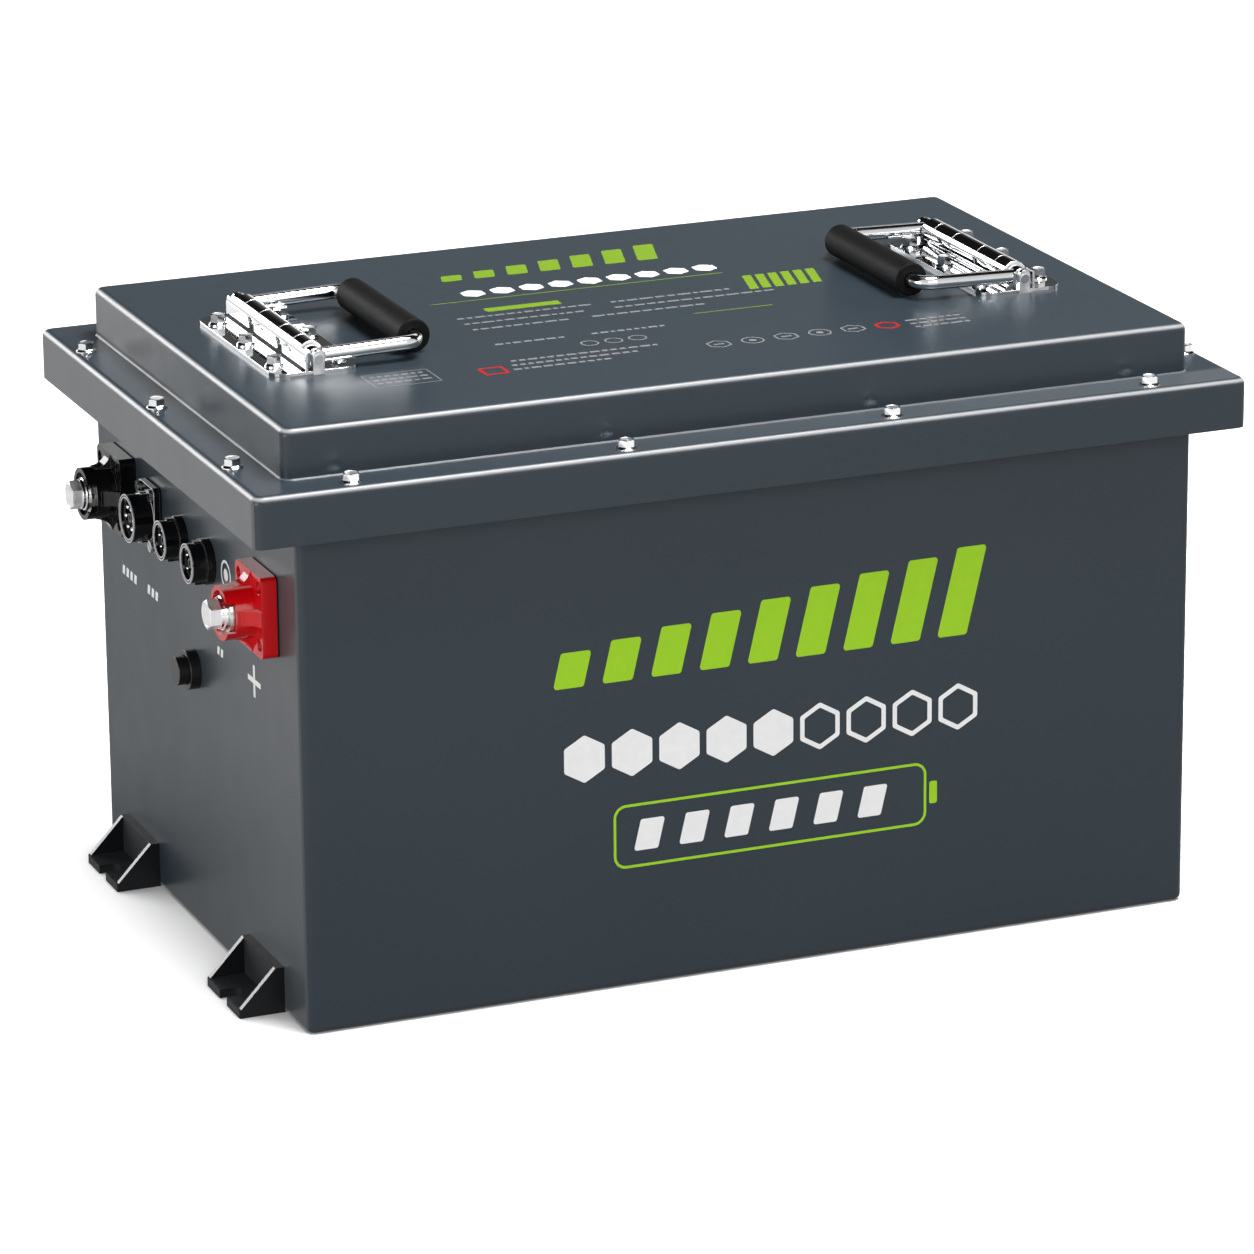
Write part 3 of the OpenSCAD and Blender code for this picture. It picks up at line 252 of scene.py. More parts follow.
def plastic_material(name, colour, roughness, grain, depth, variation=0.12, specular=0.5, top_highlight=None):
    """Moulded plastic or rubber with a fine grain; an optional paler tone is painted on its top faces as a painted
    highlight for their glare.
    """
    m = Nodes(name)
    m.set(Specular_IOR_Level=specular)
    darker = tuple(c * (1 - variation) for c in colour)
    lighter = tuple(c * (1 + variation) for c in colour)
    m.link(m.ramp(m.noise(35, 3).outputs["Fac"], darker, lighter), m.shader.inputs["Base Color"])
    m.link(m.ramp(m.noise(900, 3).outputs["Fac"], roughness * 0.9, roughness * 1.1), m.shader.inputs["Roughness"])
    m.bump(m.noise(grain, 2).outputs["Fac"], depth, 0.4)
    # Painted highlight: faces pointing up blend to the paler tone.
    if top_highlight:
        normal = m.add("ShaderNodeSeparateXYZ")
        m.link(m.add("ShaderNodeTexCoord").outputs["Normal"], normal.inputs[0])
        coat = m.shader.inputs["Base Color"].links[0].from_socket
        m.link(m.blend(coat, top_highlight, m.range(normal.outputs["Z"], 0.9, 0.98)), m.shader.inputs["Base Color"])
    return m.material


INKS = {
    "green": (0.33, 0.62, 0.02),
    "top_green": (0.17, 0.3, 0.012),
    "white": (0.86, 0.86, 0.86),
    "grey": (0.2, 0.205, 0.21),
    "red": (0.5, 0.006, 0.007),
}
MATERIALS = {
    "case_paint": paint_material(),
    "bright_steel": chrome_material("bright_steel", (0.86, 0.87, 0.88), 0.05),
    "zinc_steel": chrome_material("zinc_steel", (0.62, 0.63, 0.64), 0.25),
    "spring_steel": chrome_material("spring_steel", (0.5, 0.51, 0.52), 0.2),
    "nickel_brass": chrome_material("nickel_brass", (0.66, 0.64, 0.6), 0.16),
    "copper": chrome_material("copper", (0.75, 0.42, 0.26), 0.25),
    "raw_aluminium": chrome_material("raw_aluminium", (0.72, 0.73, 0.74), 0.3),
    "black_plastic": plastic_material("black_plastic", (0.006, 0.006, 0.0065), 0.32, 1500, 0.00003, 0.12, 0.4),
    "dark_plastic": plastic_material("dark_plastic", (0.02, 0.02, 0.022), 0.35, 1200, 0.00002),
    "satin_zinc": chrome_material("satin_zinc", (0.84, 0.84, 0.85), 0.5),
    "bolt_steel": chrome_material("bolt_steel", (0.86, 0.87, 0.88), 0.13),
    "lip_metal": chrome_material("lip_metal", (0.8, 0.8, 0.8), 0.35),
    "pin_steel": chrome_material("pin_steel", (0.9, 0.9, 0.9), 0.2),
    # The red plastic's top faces carry a painted highlight.
    "red_plastic": plastic_material(
        "red_plastic", (0.6, 0.003, 0.006), 0.14, 300, 0.00002, 0.04, 0.4, top_highlight=(0.92, 0.5, 0.5)
    ),
    # A paler red, a painted highlight for rounded edges.
    "red_rim_highlight": plastic_material("red_rim_highlight", (0.8, 0.08, 0.08), 0.2, 300, 0.00002, 0.04, 0.45),
    "black_gloss": plastic_material("black_gloss", (0.004, 0.004, 0.0045), 0.1, 300, 0.00002, 0.12, 0.4),
    # A pale grey, a painted highlight for the rounded edges of black gloss.
    "black_rim_highlight": plastic_material("black_rim_highlight", (0.5, 0.5, 0.5), 0.2, 300, 0.00002),
    "key_plastic": plastic_material("key_plastic", (0.05, 0.05, 0.052), 0.2, 900, 0.00002),
    "foot_plastic": plastic_material("foot_plastic", (0.004, 0.005, 0.006), 0.4, 2500, 0.00001, 0.05, 0.3),
    # Paler foot tones: a painted highlight for lit slopes and painted light for lit faces.
    "foot_slope_light": plastic_material("foot_slope_light", (0.13, 0.135, 0.14), 0.3, 2500, 0.00001, 0.05),
    "foot_face_light": plastic_material("foot_face_light", (0.022, 0.025, 0.027), 0.45, 2500, 0.00001, 0.05, 0.3),
    "black_rubber": plastic_material("black_rubber", (0.004, 0.004, 0.0042), 0.6, 2200, 0.00006, 0.03, 0.12),
    "foam": plastic_material("foam", (0.05, 0.05, 0.05), 0.9, 1200, 0.0002),
    "cell_wrap": plastic_material("cell_wrap", (0.03, 0.1, 0.28), 0.3, 400, 0.00003),
    "insulation_board": plastic_material("insulation_board", (0.55, 0.5, 0.3), 0.5, 900, 0.00003),
    "board_green": plastic_material("board_green", (0.015, 0.12, 0.04), 0.35, 900, 0.00003),
    "red_cable": plastic_material("red_cable", (0.42, 0.01, 0.01), 0.45, 900, 0.00003),
    "black_cable": plastic_material("black_cable", (0.012, 0.012, 0.012), 0.45, 900, 0.00003),
}


def shade_by_angle(mesh, degrees=35):
    """Smooth faces, with the edges sharper than this kept crisp."""
    mesh.shade_smooth()
    edit = bmesh.new()
    edit.from_mesh(mesh)
    for edge in edit.edges:
        edge.smooth = edge.calc_face_angle(math.pi) < math.radians(degrees)
    edit.to_mesh(mesh)
    edit.free()


for node, slot in slot_of.items():
    nodes[node].data.materials.clear()
    nodes[node].data.materials.append(MATERIALS[slot])

# ---------------------------------------------------------------- pieces


def add_piece(name, edit, material, body, sharp=35):
    """Turns a bmesh in metres into a piece that rides on a body."""
    mesh = bpy.data.meshes.new(name)
    edit.to_mesh(mesh)
    edit.free()
    mesh.materials.append(material)
    shade_by_angle(mesh, sharp)
    piece = bpy.data.objects.new(name, mesh)
    bpy.context.scene.collection.objects.link(piece)
    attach(piece, body)
    return piece


def softened(node, width, material=None, edge=None, degrees=32, segments=2, merge=True):
    """A copy of a CAD node with its edges rounded by width, which takes the node's place; edge is the material of the
    rounded edges, used for painted highlights.
    """
    edit = bmesh.new()
    edit.from_mesh(nodes[node].data)
    bmesh.ops.remove_doubles(edit, verts=edit.verts, dist=2e-6)
    if merge:
        bmesh.ops.dissolve_limit(edit, angle_limit=math.radians(0.6), verts=edit.verts, edges=edit.edges)
    slot = slot_of[node]
    piece = add_piece(node + "_finish", edit, material or MATERIALS[slot], body_of[node], degrees)
    round_over = piece.modifiers.new("round_over", "BEVEL")
    round_over.width = width * MM
    round_over.segments = segments
    round_over.limit_method = "ANGLE"
    round_over.angle_limit = math.radians(degrees)
    if edge:
        piece.data.materials.append(edge)
        round_over.material = 1
    piece.modifiers.new("normals", "WEIGHTED_NORMAL").keep_sharp = True
    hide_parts(node)
    return piece


def hex_bolt(edit, frame_of, af, head_h, flange_r, flange_t, turn, dish=0.25):
    """Adds one flanged hexagon head that stands on z = 0 of frame_of: chamfered corners and a dished top."""
    steps = 48
    top_r = 0.47 * af
    rings = []

    def ring(radius_at, height_at):
        row = []
        for k in range(steps):
            angle = TAU * k / steps + math.radians(turn)
            off = math.radians((math.degrees(TAU * k / steps) + 30) % 60 - 30)
            hex_r = af / 2 / math.cos(off)
            r = radius_at(hex_r)
            point = Vector((r * math.cos(angle), r * math.sin(angle), height_at(hex_r))) * MM
            row.append(edit.verts.new(frame_of @ point))
        rings.append(row)

    if flange_t:
        ring(lambda h: flange_r, lambda h: 0)
        ring(lambda h: flange_r, lambda h: 0.55 * flange_t)
        ring(lambda h: flange_r - 0.3, lambda h: 0.8 * flange_t)
        ring(lambda h: h + 0.15, lambda h: flange_t + 0.2)
    ring(lambda h: h, lambda h: flange_t + 0.35 if flange_t else 0)
    ring(lambda h: h, lambda h: head_h - (h - top_r) * math.tan(math.radians(28)))
    ring(lambda h: top_r, lambda h: head_h)
    ring(lambda h: top_r - 0.35, lambda h: head_h)
    ring(lambda h: top_r - 0.35 - 2 * dish, lambda h: head_h - dish)
    for low, high in zip(rings, rings[1:]):
        for k in range(steps):
            face = edit.faces.new((low[k], low[(k + 1) % steps], high[(k + 1) % steps], high[k]))
            face.material_index = int(low is rings[-2])
    edit.faces.new(rings[-1]).material_index = 1
    edit.faces.new(list(reversed(rings[0])))


def upright(x, y, z):
    return Matrix.Translation(Vector((x, y, z)) * MM)


def outward(x, y, z):
    """Frame on the end wall with its z pointing away from the case and its x pointing up."""
    return Matrix.Translation(Vector((x, y, z)) * MM) @ Matrix(((0, 0, -1), (0, -1, 0), (-1, 0, 0))).to_4x4()


def islands(node):
    """Middle, lowest and highest corner of each separate solid in a node, in millimetres."""
    edit = bmesh.new()
    edit.from_mesh(nodes[node].data)
    bmesh.ops.remove_doubles(edit, verts=edit.verts, dist=2e-6)
    seen, found = set(), []
    for start in edit.verts:
        if start in seen:
            continue
        seen.add(start)
        queue, group = [start], []
        while queue:
            vertex = queue.pop()
            group.append(vertex.co / MM)
            for near in (e.other_vert(vertex) for e in vertex.link_edges):
                if near not in seen:
                    seen.add(near)
                    queue.append(near)
        low = Vector(min(c[i] for c in group) for i in range(3))
        high = Vector(max(c[i] for c in group) for i in range(3))
        found.append(((low + high) / 2, low, high))
    edit.free()
    return found


def bolts(node, seat_z, shank_r, **head):
    """Detailed flanged bolts in the places of a node's plain ones."""
    edit = bmesh.new()
    for middle, low, high in islands(node):
        hex_bolt(edit, upright(middle.x, middle.y, seat_z), **head)
        depth = seat_z - low.z
        bmesh.ops.create_cone(
            edit, cap_ends=True, segments=24, radius1=shank_r * MM, radius2=shank_r * MM,
            depth=depth * MM, matrix=upright(middle.x, middle.y, seat_z - depth / 2),
        )
    piece = add_piece(node + "_finish", edit, MATERIALS["bolt_steel"], body_of[node], 25)
    piece.data.materials.append(MATERIALS["satin_zinc"])
    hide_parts(node)


LID_BOLT_HEAD_H = 5.8
HANDLE_PLATE_T = 1.6
SHANK_R = 2.4
FLANGE_T = 1.1
HEAD_TURN = -20
STUD_R = 3.9
lid_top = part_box("lid")[1].z / MM
ledge_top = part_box("lid_bolts")[1].z / MM - LID_BOLT_HEAD_H
plate_top = lid_top + HANDLE_PLATE_T
bolts("lid_bolts", ledge_top, SHANK_R, af=7, head_h=4.7, flange_r=4.9, flange_t=FLANGE_T, turn=HEAD_TURN)
bolts("handle_screws", plate_top, SHANK_R, af=6.4, head_h=5.2, flange_r=4.4, flange_t=FLANGE_T, turn=HEAD_TURN)

for name in ("positive_bolt", "negative_bolt"):
    low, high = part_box(name)
    middle = (low + high) / 2 / MM
    head_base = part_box(name.replace("bolt", "washers"))[0].x / MM
    edit = bmesh.new()
    hex_bolt(
        edit, outward(head_base, middle.y, middle.z), af=12.6, head_h=head_base - low.x / MM,
        flange_r=0, flange_t=0, turn=30, dish=0.2,
    )
    bmesh.ops.create_cone(
        edit, cap_ends=True, segments=32, radius1=STUD_R * MM, radius2=STUD_R * MM,
        depth=high.x - head_base * MM, matrix=outward((high.x / MM + head_base) / 2, middle.y, middle.z),
    )
    piece = add_piece(name + "_finish", edit, MATERIALS["satin_zinc"], "case", 25)
    piece.data.materials.append(MATERIALS["satin_zinc"])
    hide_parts(name)

# The ears' front faces and the feet's lit faces take paler materials, chosen by the way they look: painted highlights
# and painted light
for side in ("left", "right"):
    plate = softened(side + "_handle_plate", 0.3)
    plate.data.materials.append(MATERIALS["satin_zinc"])
    # Painted highlight: the ears' front faces take the paler satin zinc.
    for face in plate.data.polygons:
        if face.normal.y < -0.9 and face.center.z > (plate_top + 2) * MM:
            face.material_index = 1
for node, width in {
    "left_grip": 0.7,
    "right_grip": 0.7,
    "positive_washers": 0.15,
    "negative_washers": 0.15,
    "charge_screws": 0.2,
    "terminal_screws": 0.2,
    "button_bezel": 0.4,
    "button_cap": 0.4,
}.items():
    softened(node, width)
# The red housing's rounded edges take a paler red as a painted highlight.
softened("positive_housing", 0.6, edge=MATERIALS["red_rim_highlight"])
# The black shells' rounded edges take a pale grey as a painted highlight.
for node, width in {
    "negative_housing": 0.45,
    "charge_shell": 0.4,
    "data_shell": 0.4,
    "display_shell": 0.4,
}.items():
    softened(node, width, MATERIALS["black_gloss"], MATERIALS["black_rim_highlight"])
for node in ("front_foot", "rear_foot"):
    foot = softened(node, 0.25, MATERIALS["foot_plastic"], merge=False)
    foot.data.materials.append(MATERIALS["foot_slope_light"])
    foot.data.materials.append(MATERIALS["foot_face_light"])
    # Painted light: slopes and faces take the paler foot tones by the way they face.
    for face in foot.data.polygons:
        n = face.normal
        if n.x < -0.3 and n.z > 0.3:
            face.material_index = 1
        elif n.z > 0.9 and face.center.z < 0.01 or n.x < -0.9 and face.center.x > -0.23:
            face.material_index = 2

# The button's spring stands clear of the cap's flange over the whole press
press = next(j for j in frame["record"]["behaviour"]["joints"] if j["name"] == "wake_button_press")
travel = max(press["range_m"])
spring = softened("button_spring", 0.02, merge=False)
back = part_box("button_spring")[1].x
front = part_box("button_spring")[0].x
for vertex in spring.data.vertices:
    vertex.co.x = back + (vertex.co.x - back) * (back - front - travel) / (back - front)


def lathe(edit, frame_of, profile, steps=48):
    """Turns a profile of (radius, height) pairs in millimetres round frame_of's z axis; the profile is closed."""
    turns = [(math.cos(TAU * k / steps), math.sin(TAU * k / steps)) for k in range(steps)]
    rows = [[edit.verts.new(frame_of @ (Vector((r * c, r * s, z)) * MM)) for c, s in turns] for r, z in profile]
    for low, high in zip(rows, rows[1:] + rows[:1]):
        for k in range(steps):
            edit.faces.new((low[k], low[(k + 1) % steps], high[(k + 1) % steps], high[k]))


def box_in(edit, frame_of, low, high):
    """A plain block between two corners of frame_of, in millimetres."""
    low, high = Vector(low), Vector(high)
    middle = Matrix.Translation((low + high) / 2 * MM)
    bmesh.ops.create_cube(edit, size=1, matrix=frame_of @ middle @ Matrix.Diagonal(((high - low) * MM).to_4d()))


def band_profile(r_in, r_out, z_in, z_out):
    """A rectangle for lathe, as four corners."""
    return [(r_in, z_in), (r_out, z_in), (r_out, z_out), (r_in, z_out)]


def socket(name, y, z, barrel_r, bore_r, band, pins, pin_ring, pin_r):
    """Contact pins, guide sleeve, polarising ribs and a bright lip inside one round connector."""
    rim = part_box(name + "_shell")[0].x / MM
    floor_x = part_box(name + "_insert")[0].x / MM
    depth = floor_x - rim
    place = outward(floor_x, y, z)
    edit = bmesh.new()
    for k in range(pins):
        angle = TAU * (k + 0.5) / pins
        spot = place @ Matrix.Translation(Vector((pin_ring * math.cos(angle), pin_ring * math.sin(angle), 0)) * MM)
        tip = depth - 1.2
        lathe(edit, spot, [(0.01, -0.5), (pin_r, -0.5), (pin_r, tip - 0.5), (pin_r - 0.35, tip), (0.01, tip)], 16)
    add_piece(name + "_pins", edit, MATERIALS["pin_steel"], "case", 30)
    edit = bmesh.new()
    lathe(edit, place, band_profile(bore_r - 1.3, bore_r - 0.2, depth - 2.4, depth - 2.0))
    for angle in (60, 100, 200, 300):
        turn = place @ Matrix.Rotation(math.radians(angle), 4, "Z")
        box_in(edit, turn, (bore_r - 1.6, -0.8, 0), (bore_r + 0.1, 0.8, depth - 0.6))
    lathe(edit, place, band_profile(1.5, 2.3, 0, depth - 1.6), 32)
    add_piece(name + "_keys", edit, MATERIALS["key_plastic"], "case", 30)
    edit = bmesh.new()
    for r, z in ((barrel_r + 0.06, depth + 0.04), (bore_r + 0.5, depth + 0.04)):
        lathe(edit, place, [(r, z - 0.5), (r, z), (r - 0.5, z), (r - 0.5, z - 0.5)])
    r_in, r_out = barrel_r - 0.3, barrel_r + 0.12
    lathe(edit, place, [(r_out, band - 0.35), (r_out, band + 0.35), (r_in, band + 0.35), (r_in, band - 0.35)])
    add_piece(name + "_lips", edit, MATERIALS["lip_metal"], "case", 30)


SOCKET_Z = 190.4
PORT = dict(barrel_r=9.4, bore_r=7.6, band=-6, pin_ring=4.6, pin_r=0.7)
socket("charge", 58, SOCKET_Z, barrel_r=11.6, bore_r=9.8, band=-7, pins=6, pin_ring=5.6, pin_r=1.1)
socket("data", 17.5, SOCKET_Z, pins=5, **PORT)
socket("display", -22.5, SOCKET_Z, pins=4, **PORT)

# A dark strip of black rubber as painted shadow in the gap where each hinge's outer wall meets its plate
HINGE_WALL_X = 184
for side, sign in (("left", -1), ("right", 1)):
    edit = bmesh.new()
    box_in(edit, upright(sign * HINGE_WALL_X, 0, plate_top), (-0.7, -54, 0.02), (0.3, 54, 0.75))
    add_piece(side + "_hinge_shadow", edit, MATERIALS["black_rubber"], "case")

# ---------------------------------------------------------------- prints: bars, hexagons and dashes in place of words


def surface(node, start, direction):
    """Where a ray from start, in millimetres, meets a CAD node."""
    hit, place, _, _ = nodes[node].ray_cast(Vector(start) * MM, Vector(direction))
    if not hit:
        raise RuntimeError(f"no surface of {node} from {start}")
    return place


def rounded(corners, r):
    """A closed outline with each corner rounded by r."""
    outline = []
    for k, corner in enumerate(corners):
        corner = Vector(corner)
        before = (Vector(corners[k - 1]) - corner).normalized()
        after = (Vector(corners[(k + 1) % len(corners)]) - corner).normalized()
        half = before.angle(after) / 2
        reach = r / math.tan(half)
        centre = corner + (before + after).normalized() * r / math.sin(half)
        first, last = corner + before * reach - centre, corner + after * reach - centre
        for t in (0, 0.25, 0.5, 0.75, 1):
            outline.append(centre + (first.lerp(last, t)).normalized() * r)
    return outline


def bar(x, y, w, h, slant=0.0, r=0.0):
    """An upright bar from its lower left corner, leaning right by slant times its height."""
    lean = slant * h
    corners = [(x, y), (x + w, y), (x + w + lean, y + h), (x + lean, y + h)]
    return rounded(corners, r) if r else [Vector(c) for c in corners]


def polygon(x, y, r, sides, turn=0.0):
    return [
        Vector((x + r * math.cos(TAU * k / sides + turn), y + r * math.sin(TAU * k / sides + turn)))
        for k in range(sides)
    ]


def hexagon(x, y, af, r=0.8):
    return rounded(polygon(x, y, af / math.sqrt(3), 6, math.pi / 6), r)


def ring(outer, share):
    """Two outlines, the inner one a share of the outer one's size."""
    middle = sum(outer, Vector((0, 0))) / len(outer)
    return outer, [middle + (p - middle) * share for p in outer]


def frame_line(x, y, w, h, r, line):
    """A thin rounded frame."""
    return bar(x, y, w, h, 0, r), bar(x + line, y + line, w - 2 * line, h - 2 * line, 0, r - line)


def dashes(x, y, length, height, chance, low=2.0, high=7.0, gap=1.3):
    """A row of plain dashes of uneven lengths."""
    row, at = [], x
    while at < x + length - low:
        w = min(chance.uniform(low, high), x + length - at)
        row.append(bar(at, y, w, height))
        at += w + gap
    return row


def print_piece(name, frame_of, material, shapes, thickness=0.06):
    """Flat inked shapes in one colour: outlines are filled, and pairs of outlines leave their middle bare."""
    edit = bmesh.new()

    def row(outline, height):
        return [edit.verts.new(frame_of @ (Vector((p.x, p.y, height)) * MM)) for p in outline]

    def wall(low, high):
        for k in range(len(low)):
            n = (k + 1) % len(low)
            edit.faces.new((low[k], low[n], high[n], high[k]))

    for shape in shapes:
        if isinstance(shape, tuple):
            outer, inner = shape
            low, high = row(outer, 0), row(outer, thickness)
            inner_low, inner_high = row(inner, 0), row(inner, thickness)
            wall(low, high)
            wall(high, inner_high)
            wall(inner_high, inner_low)
            wall(inner_low, low)
        else:
            low, high = row(shape, 0), row(shape, thickness)
            wall(low, high)
            edit.faces.new(high)
            edit.faces.new(list(reversed(low)))
    bmesh.ops.recalc_face_normals(edit, faces=edit.faces)
    return add_piece(name, edit, material, "case", 20)


def prints():
    green, top_green, white, grey, red = (ink_material("ink_" + n, c) for n, c in INKS.items())
    front = Matrix.Translation((0, surface("tank", (0, -400, 100), (0, 1, 0)).y, 0)) @ Matrix(
        ((1, 0, 0), (0, 0, -1), (0, 1, 0))
    ).to_4x4()
    top = Matrix.Translation((0, 0, lid_top * MM))
    end = Matrix.Translation((surface("tank", (-400, 60, 60), (1, 0, 0)).x, 0, 0)) @ Matrix(
        ((0, 0, -1), (-1, 0, 0), (0, 1, 0))
    ).to_4x4()
    chance = random.Random(7)

    print_piece(
        "front_bars", front, green,
        [bar(-101 + 24 * k, 149, 15, 17 + 3.2 * k, 0.24, 1.5) for k in range(9)]
        + [frame_line(-72, 58, 158, 31, 6, 1.3), bar(87.5, 68, 4, 11, 0, 1)],
    )
    print_piece(
        "front_hexagons", front, white,
        [hexagon(-86 + 23.5 * k, 114, 20, 1.6) for k in range(5)]
        + [ring(hexagon(-86 + 23.5 * k, 114, 20, 1.6), 0.78) for k in range(5, 9)]
        + [bar(-62 + 22.5 * k, 66, 12, 15, 0.24, 1.2) for k in range(6)],
    )
    print_piece(
        "top_bars", top, top_green,
        [bar(-68 + 17 * k, 76, 10.5, 10 + 3 * k, 0.3, 1.2) for k in range(7)]
        + [bar(62 + 6.6 * k, 3, 4.6, 25, 0.25, 0.6) for k in range(6)]
        + [bar(-68, 15, 38, 6.5, 0, 1), bar(-88, 37.5, 150, 0.7), bar(20, -28, 40, 0.7)],
    )
    small = []
    for y, x, length in ((7, -86, 70), (7, -8, 64), (-3, -86, 60), (-3, -10, 82), (-14, -86, 48), (-14, -26, 60)):
        small += dashes(x, y, length, 2.2, chance)
    for y, x, length in ((-43, -86, 36), (-43, -38, 40), (-73, -90, 76), (-80, -92, 62), (-87, -94, 48)):
        small += dashes(x, y, length, 2.4, chance, 2, 5)
    for x in (-45, -33, -21):
        small.append(ring(polygon(x, -57, 4.5, 24), 0.8))
    for k in range(5):
        x, y = 9 + 17 * k, -83
        small.append(ring(polygon(x, y, 5.6, 32) if k % 2 else hexagon(x, y, 11), 0.84))
        small.append(polygon(x, y, 1.8, 24) if k % 2 else bar(x - 2.6, y - 0.8, 5.2, 1.6))
    small += [frame_line(-162, -90, 32, 22, 1.2, 0.5)]
    for y in (-73.5, -79, -84.5):
        small += dashes(-159, y, 26, 2, chance, 2, 6)
    for y in (-81, -87, -93):
        small += dashes(105, y, 28, 2, chance, 2, 6)
    print_piece("top_hexagons", top, white, [hexagon(-62 + 15 * k, 50, 11, 0.9) for k in range(9)])
    print_piece("top_dashes", top, grey, small)
    red_marks = [ring(hexagon(94, -84, 11), 0.78), ring(bar(-109, -90, 12, 12, 0, 1), 0.78)]
    print_piece("top_marks", top, red, red_marks)

    # On the end wall, x runs from the back towards the front
    plus_x, plus_y, half, line = 83.6, 150.2, 8.8, 1.3
    plus = [
        bar(plus_x - half, plus_y - line, 17.7, 2 * line),
        bar(plus_x - line, plus_y + line, 2 * line, 6.4),
        bar(plus_x - line, plus_y - 7.7, 2 * line, 6.4),
    ]
    labels = [bar(-112 + 6 * k, 146.5, 3.6, 4.6, 0.2) for k in range(4)]
    labels += [bar(-73 + 6 * k, 147.5, 3.6, 4.6, 0.2) for k in range(3)]
    labels += [bar(31 + 5 * k, 148, 3, 4, 0.2) for k in range(2)]
    labels += [ring(polygon(47, 190.5, 7, 32), 0.82), polygon(47, 190.5, 3, 24)]
    print_piece("end_marks", end, ink_material("ink_end", (0.93, 0.93, 0.93)), plus + labels)


prints()

# ---------------------------------------------------------------- floor, light and background


# The floor is staged. The camera sees it near white by FLOOR_GLOW; beside the case ambient occlusion lowers that
# glow to CONTACT_GLOW's share, a painted contact shadow over the lit one. Other rays are bounced by FLOOR_BOUNCE as
# from a dark floor, and glossy rays see the GLOSSY levels by place, lowest near the case as painted shade in
# reflections.
FLOOR_HALF = 16
FLOOR_WHITE = 0.82
FLOOR_GLOW = 0.84
CONTACT_GLOW = 0.05
CONTACT_REACH = 0.1
FLOOR_BOUNCE = 0.2
GLOSSY_NEAR = 0.3
GLOSSY_LEFT = 0.7
GLOSSY_FRONT = 0.55
GLOSSY_REAR = 0.65
# The world is white to the camera. Other rays see grey levels by height, one row for directions
# ahead of the case's front and one for those behind it, and glossy rays also see one bright panel.
BEHIND = [(0.0, 0.95), (0.06, 0.75), (0.2, 0.1), (0.4, 0.008), (0.93, 0.01), (0.985, 0.35)]
AHEAD = [(0.0, 0.85), (0.55, 0.72), (0.8, 0.62), (0.9, 0.35)]
AHEAD_TO_BEHIND = (-0.4, -0.24)
PANEL = {"X": (0.2, 0.28), "Y": (0.3, 0.4), "Z": (0.5, 0.55), "top": (0.66, 0.7), "level": 0.9}
LAMPS = {
    "overhead": ((0.35, -0.3, 2.1), (0, 0, 0.25), (1.0, 0.7), 60),
    "left_back": ((-1.5, 3.0, 1.0), (0, 0, 0.2), (1.6, 1.0), 34),
    "left_fill": ((-2.5, -1.0, 0.5), (0, 0, 0.15), (1.4, 0.8), 28),
    "right_fill": ((3.0, 0.6, 0.9), (0, 0, 0.12), (1.6, 1.0), 12),
    "front_fill": ((0.2, -3.0, 1.8), (0, 0, 0.2), (2.2, 1.4), 25),
}


def studio_floor():
    mesh = bpy.data.meshes.new("floor")
    corners = [(x * FLOOR_HALF, y * FLOOR_HALF, 0) for x, y in ((-1, -1), (1, -1), (1, 1), (-1, 1))]
    mesh.from_pydata(corners, [], [(0, 1, 2, 3)])
    floor = bpy.data.objects.new("floor", mesh)
    bpy.context.scene.collection.objects.link(floor)
    floor.location.z = -0.0002
    m = Nodes("floor")
    m.set(Roughness=1.0, Specular_IOR_Level=0.0)
    path = m.add("ShaderNodeLightPath")
    m.link(m.ramp(path.outputs["Is Camera Ray"], FLOOR_BOUNCE, FLOOR_WHITE, 0, 1), m.shader.inputs["Base Color"])
    place = m.add("ShaderNodeSeparateXYZ")
    m.link(m.add("ShaderNodeNewGeometry").outputs["Position"], place.inputs[0])
    x, y = place.outputs["X"], place.outputs["Y"]
    # Glossy rays see the floor darker near the case: painted shade in its reflections.
    side = m.range(x, -0.75, -0.2, GLOSSY_LEFT, GLOSSY_NEAR)
    front = m.range(y, -0.9, -0.25, GLOSSY_FRONT, 0)
    rear = m.product(m.range(y, 0.3, 0.5, 0, GLOSSY_REAR), m.range(x, -0.25, -0.15))
    glossy = m.product(path.outputs["Is Glossy Ray"], m.total(m.total(side, front), rear))
    # Painted contact shadow: ambient occlusion dims the camera's view of the floor beside the case.
    near_case = m.add("ShaderNodeAmbientOcclusion", Distance=CONTACT_REACH)
    open_air = m.range(near_case.outputs["AO"], 0.3, 0.85, CONTACT_GLOW, 1)
    glow = m.add("ShaderNodeMath", operation="MULTIPLY_ADD")
    glow.inputs[1].default_value = FLOOR_GLOW
    m.link(m.product(path.outputs["Is Camera Ray"], open_air), glow.inputs[0])
    m.link(glossy, glow.inputs[2])
    m.shader.inputs["Emission Color"].default_value = (1, 1, 1, 1)
    m.link(glow.outputs[0], m.shader.inputs["Emission Strength"])
    mesh.materials.append(m.material)


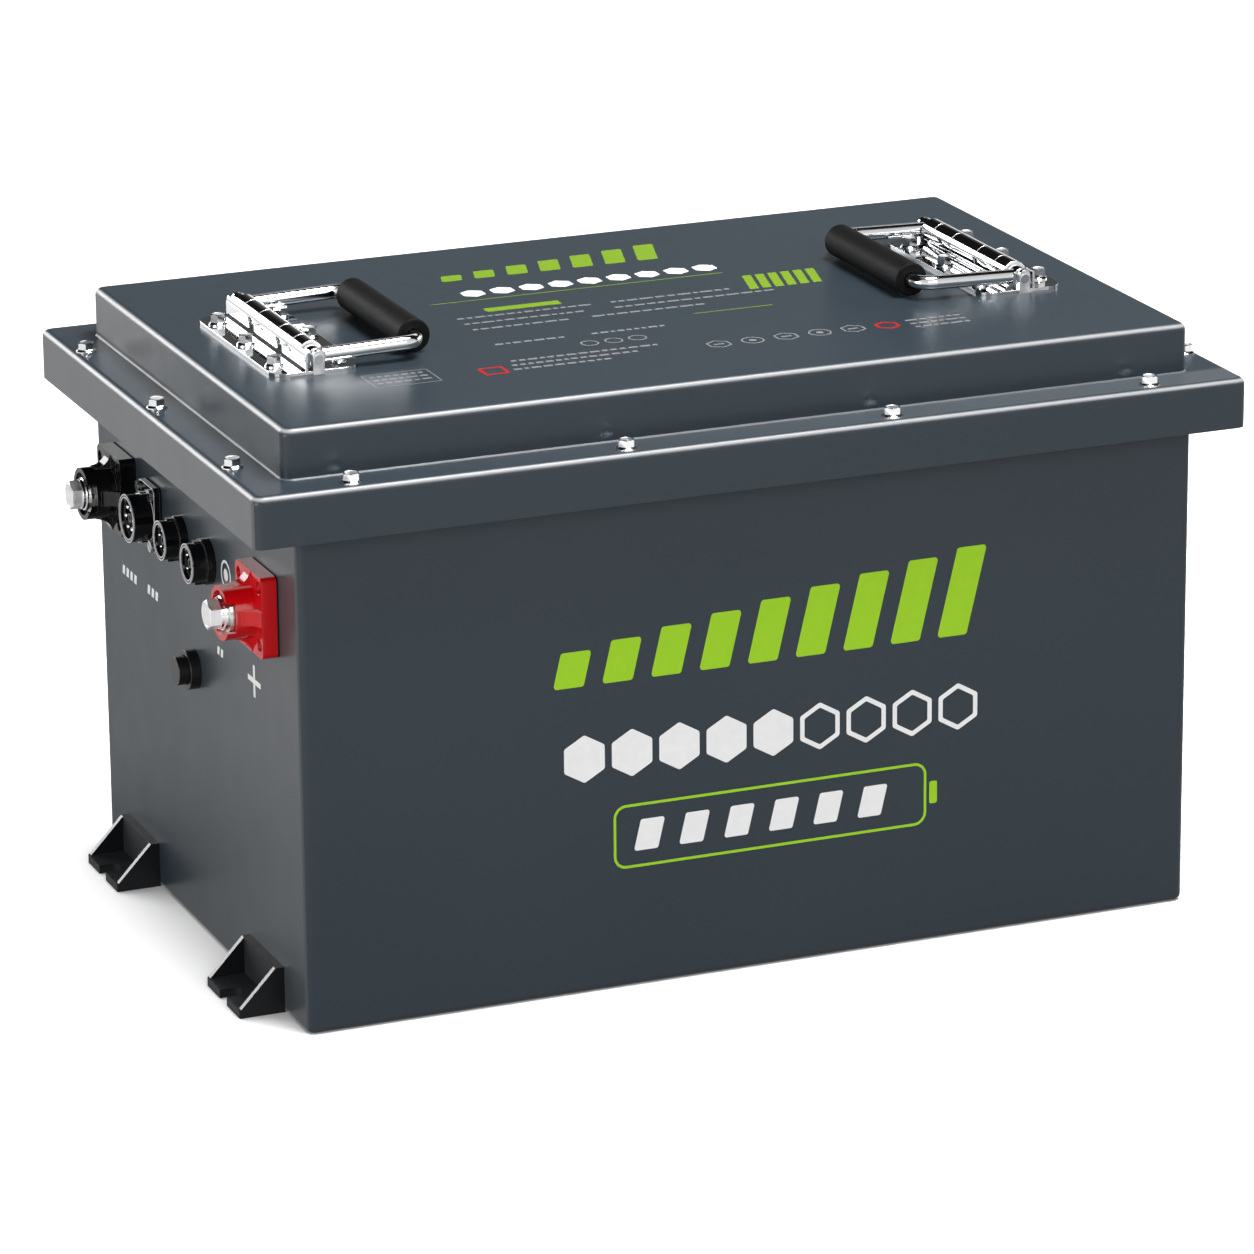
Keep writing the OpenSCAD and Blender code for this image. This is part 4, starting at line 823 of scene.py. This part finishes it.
def studio_world():
    world = bpy.data.worlds.new("studio")
    bpy.context.scene.world = world
    world.use_nodes = True
    tree = world.node_tree

    def add(kind, **values):
        node = tree.nodes.new(kind)
        for key, value in values.items():
            setattr(node, key, value)
        return node

    def ramp(source, stops):
        node = add("ShaderNodeValToRGB")
        elements = node.color_ramp.elements
        while len(elements) < len(stops):
            elements.new(0.5)
        for element, (place, level) in zip(elements, stops):
            element.position = place
            element.color = (level, level, level, 1)
        tree.links.new(source, node.inputs["Fac"])
        return node.outputs["Color"]

    def step(axis, start, end, low=0.0, high=1.0, curve="SMOOTHSTEP"):
        node = add("ShaderNodeMapRange", interpolation_type=curve)
        for name, value in zip(("From Min", "From Max", "To Min", "To Max"), (start, end, low, high)):
            node.inputs[name].default_value = value
        tree.links.new(split.outputs[axis], node.inputs["Value"])
        return node.outputs["Result"]

    def times(first, second):
        node = add("ShaderNodeMath", operation="MULTIPLY")
        tree.links.new(first, node.inputs[0])
        tree.links.new(second, node.inputs[1])
        return node.outputs[0]

    def mix(below, above, share):
        """Lays a linked colour or a grey level over another colour."""
        node = add("ShaderNodeMix", data_type="RGBA")
        tree.links.new(below, node.inputs["A"])
        if isinstance(above, float):
            node.inputs["B"].default_value = (above, above, above, 1)
        else:
            tree.links.new(above, node.inputs["B"])
        tree.links.new(share, node.inputs["Factor"])
        return node.outputs["Result"]

    split = add("ShaderNodeSeparateXYZ")
    tree.links.new(add("ShaderNodeTexCoord").outputs["Generated"], split.inputs[0])
    path = add("ShaderNodeLightPath")
    height = split.outputs["Z"]
    sky = mix(ramp(height, AHEAD), ramp(height, BEHIND), step("Y", *AHEAD_TO_BEHIND, curve="LINEAR"))
    across = times(step("X", *PANEL["X"]), step("Y", *PANEL["Y"]))
    panel = times(across, times(step("Z", *PANEL["Z"]), step("Z", *PANEL["top"], 1, 0)))
    sky = mix(sky, PANEL["level"], times(panel, path.outputs["Is Glossy Ray"]))
    sky = mix(sky, 1.0, path.outputs["Is Camera Ray"])
    tree.links.new(sky, tree.nodes["Background"].inputs["Color"])


def area_light(name, place, aim, size, power):
    data = bpy.data.lights.new(name, "AREA")
    data.shape = "RECTANGLE"
    data.size, data.size_y = size
    data.energy = power
    light = bpy.data.objects.new(name, data)
    bpy.context.scene.collection.objects.link(light)
    light.location = place
    direction = Vector(aim) - Vector(place)
    light.rotation_euler = direction.to_track_quat("-Z", "Y").to_euler()


studio_floor()
studio_world()
for name, lamp in LAMPS.items():
    area_light(name, *lamp)
bpy.context.scene.view_settings.view_transform = "Standard"
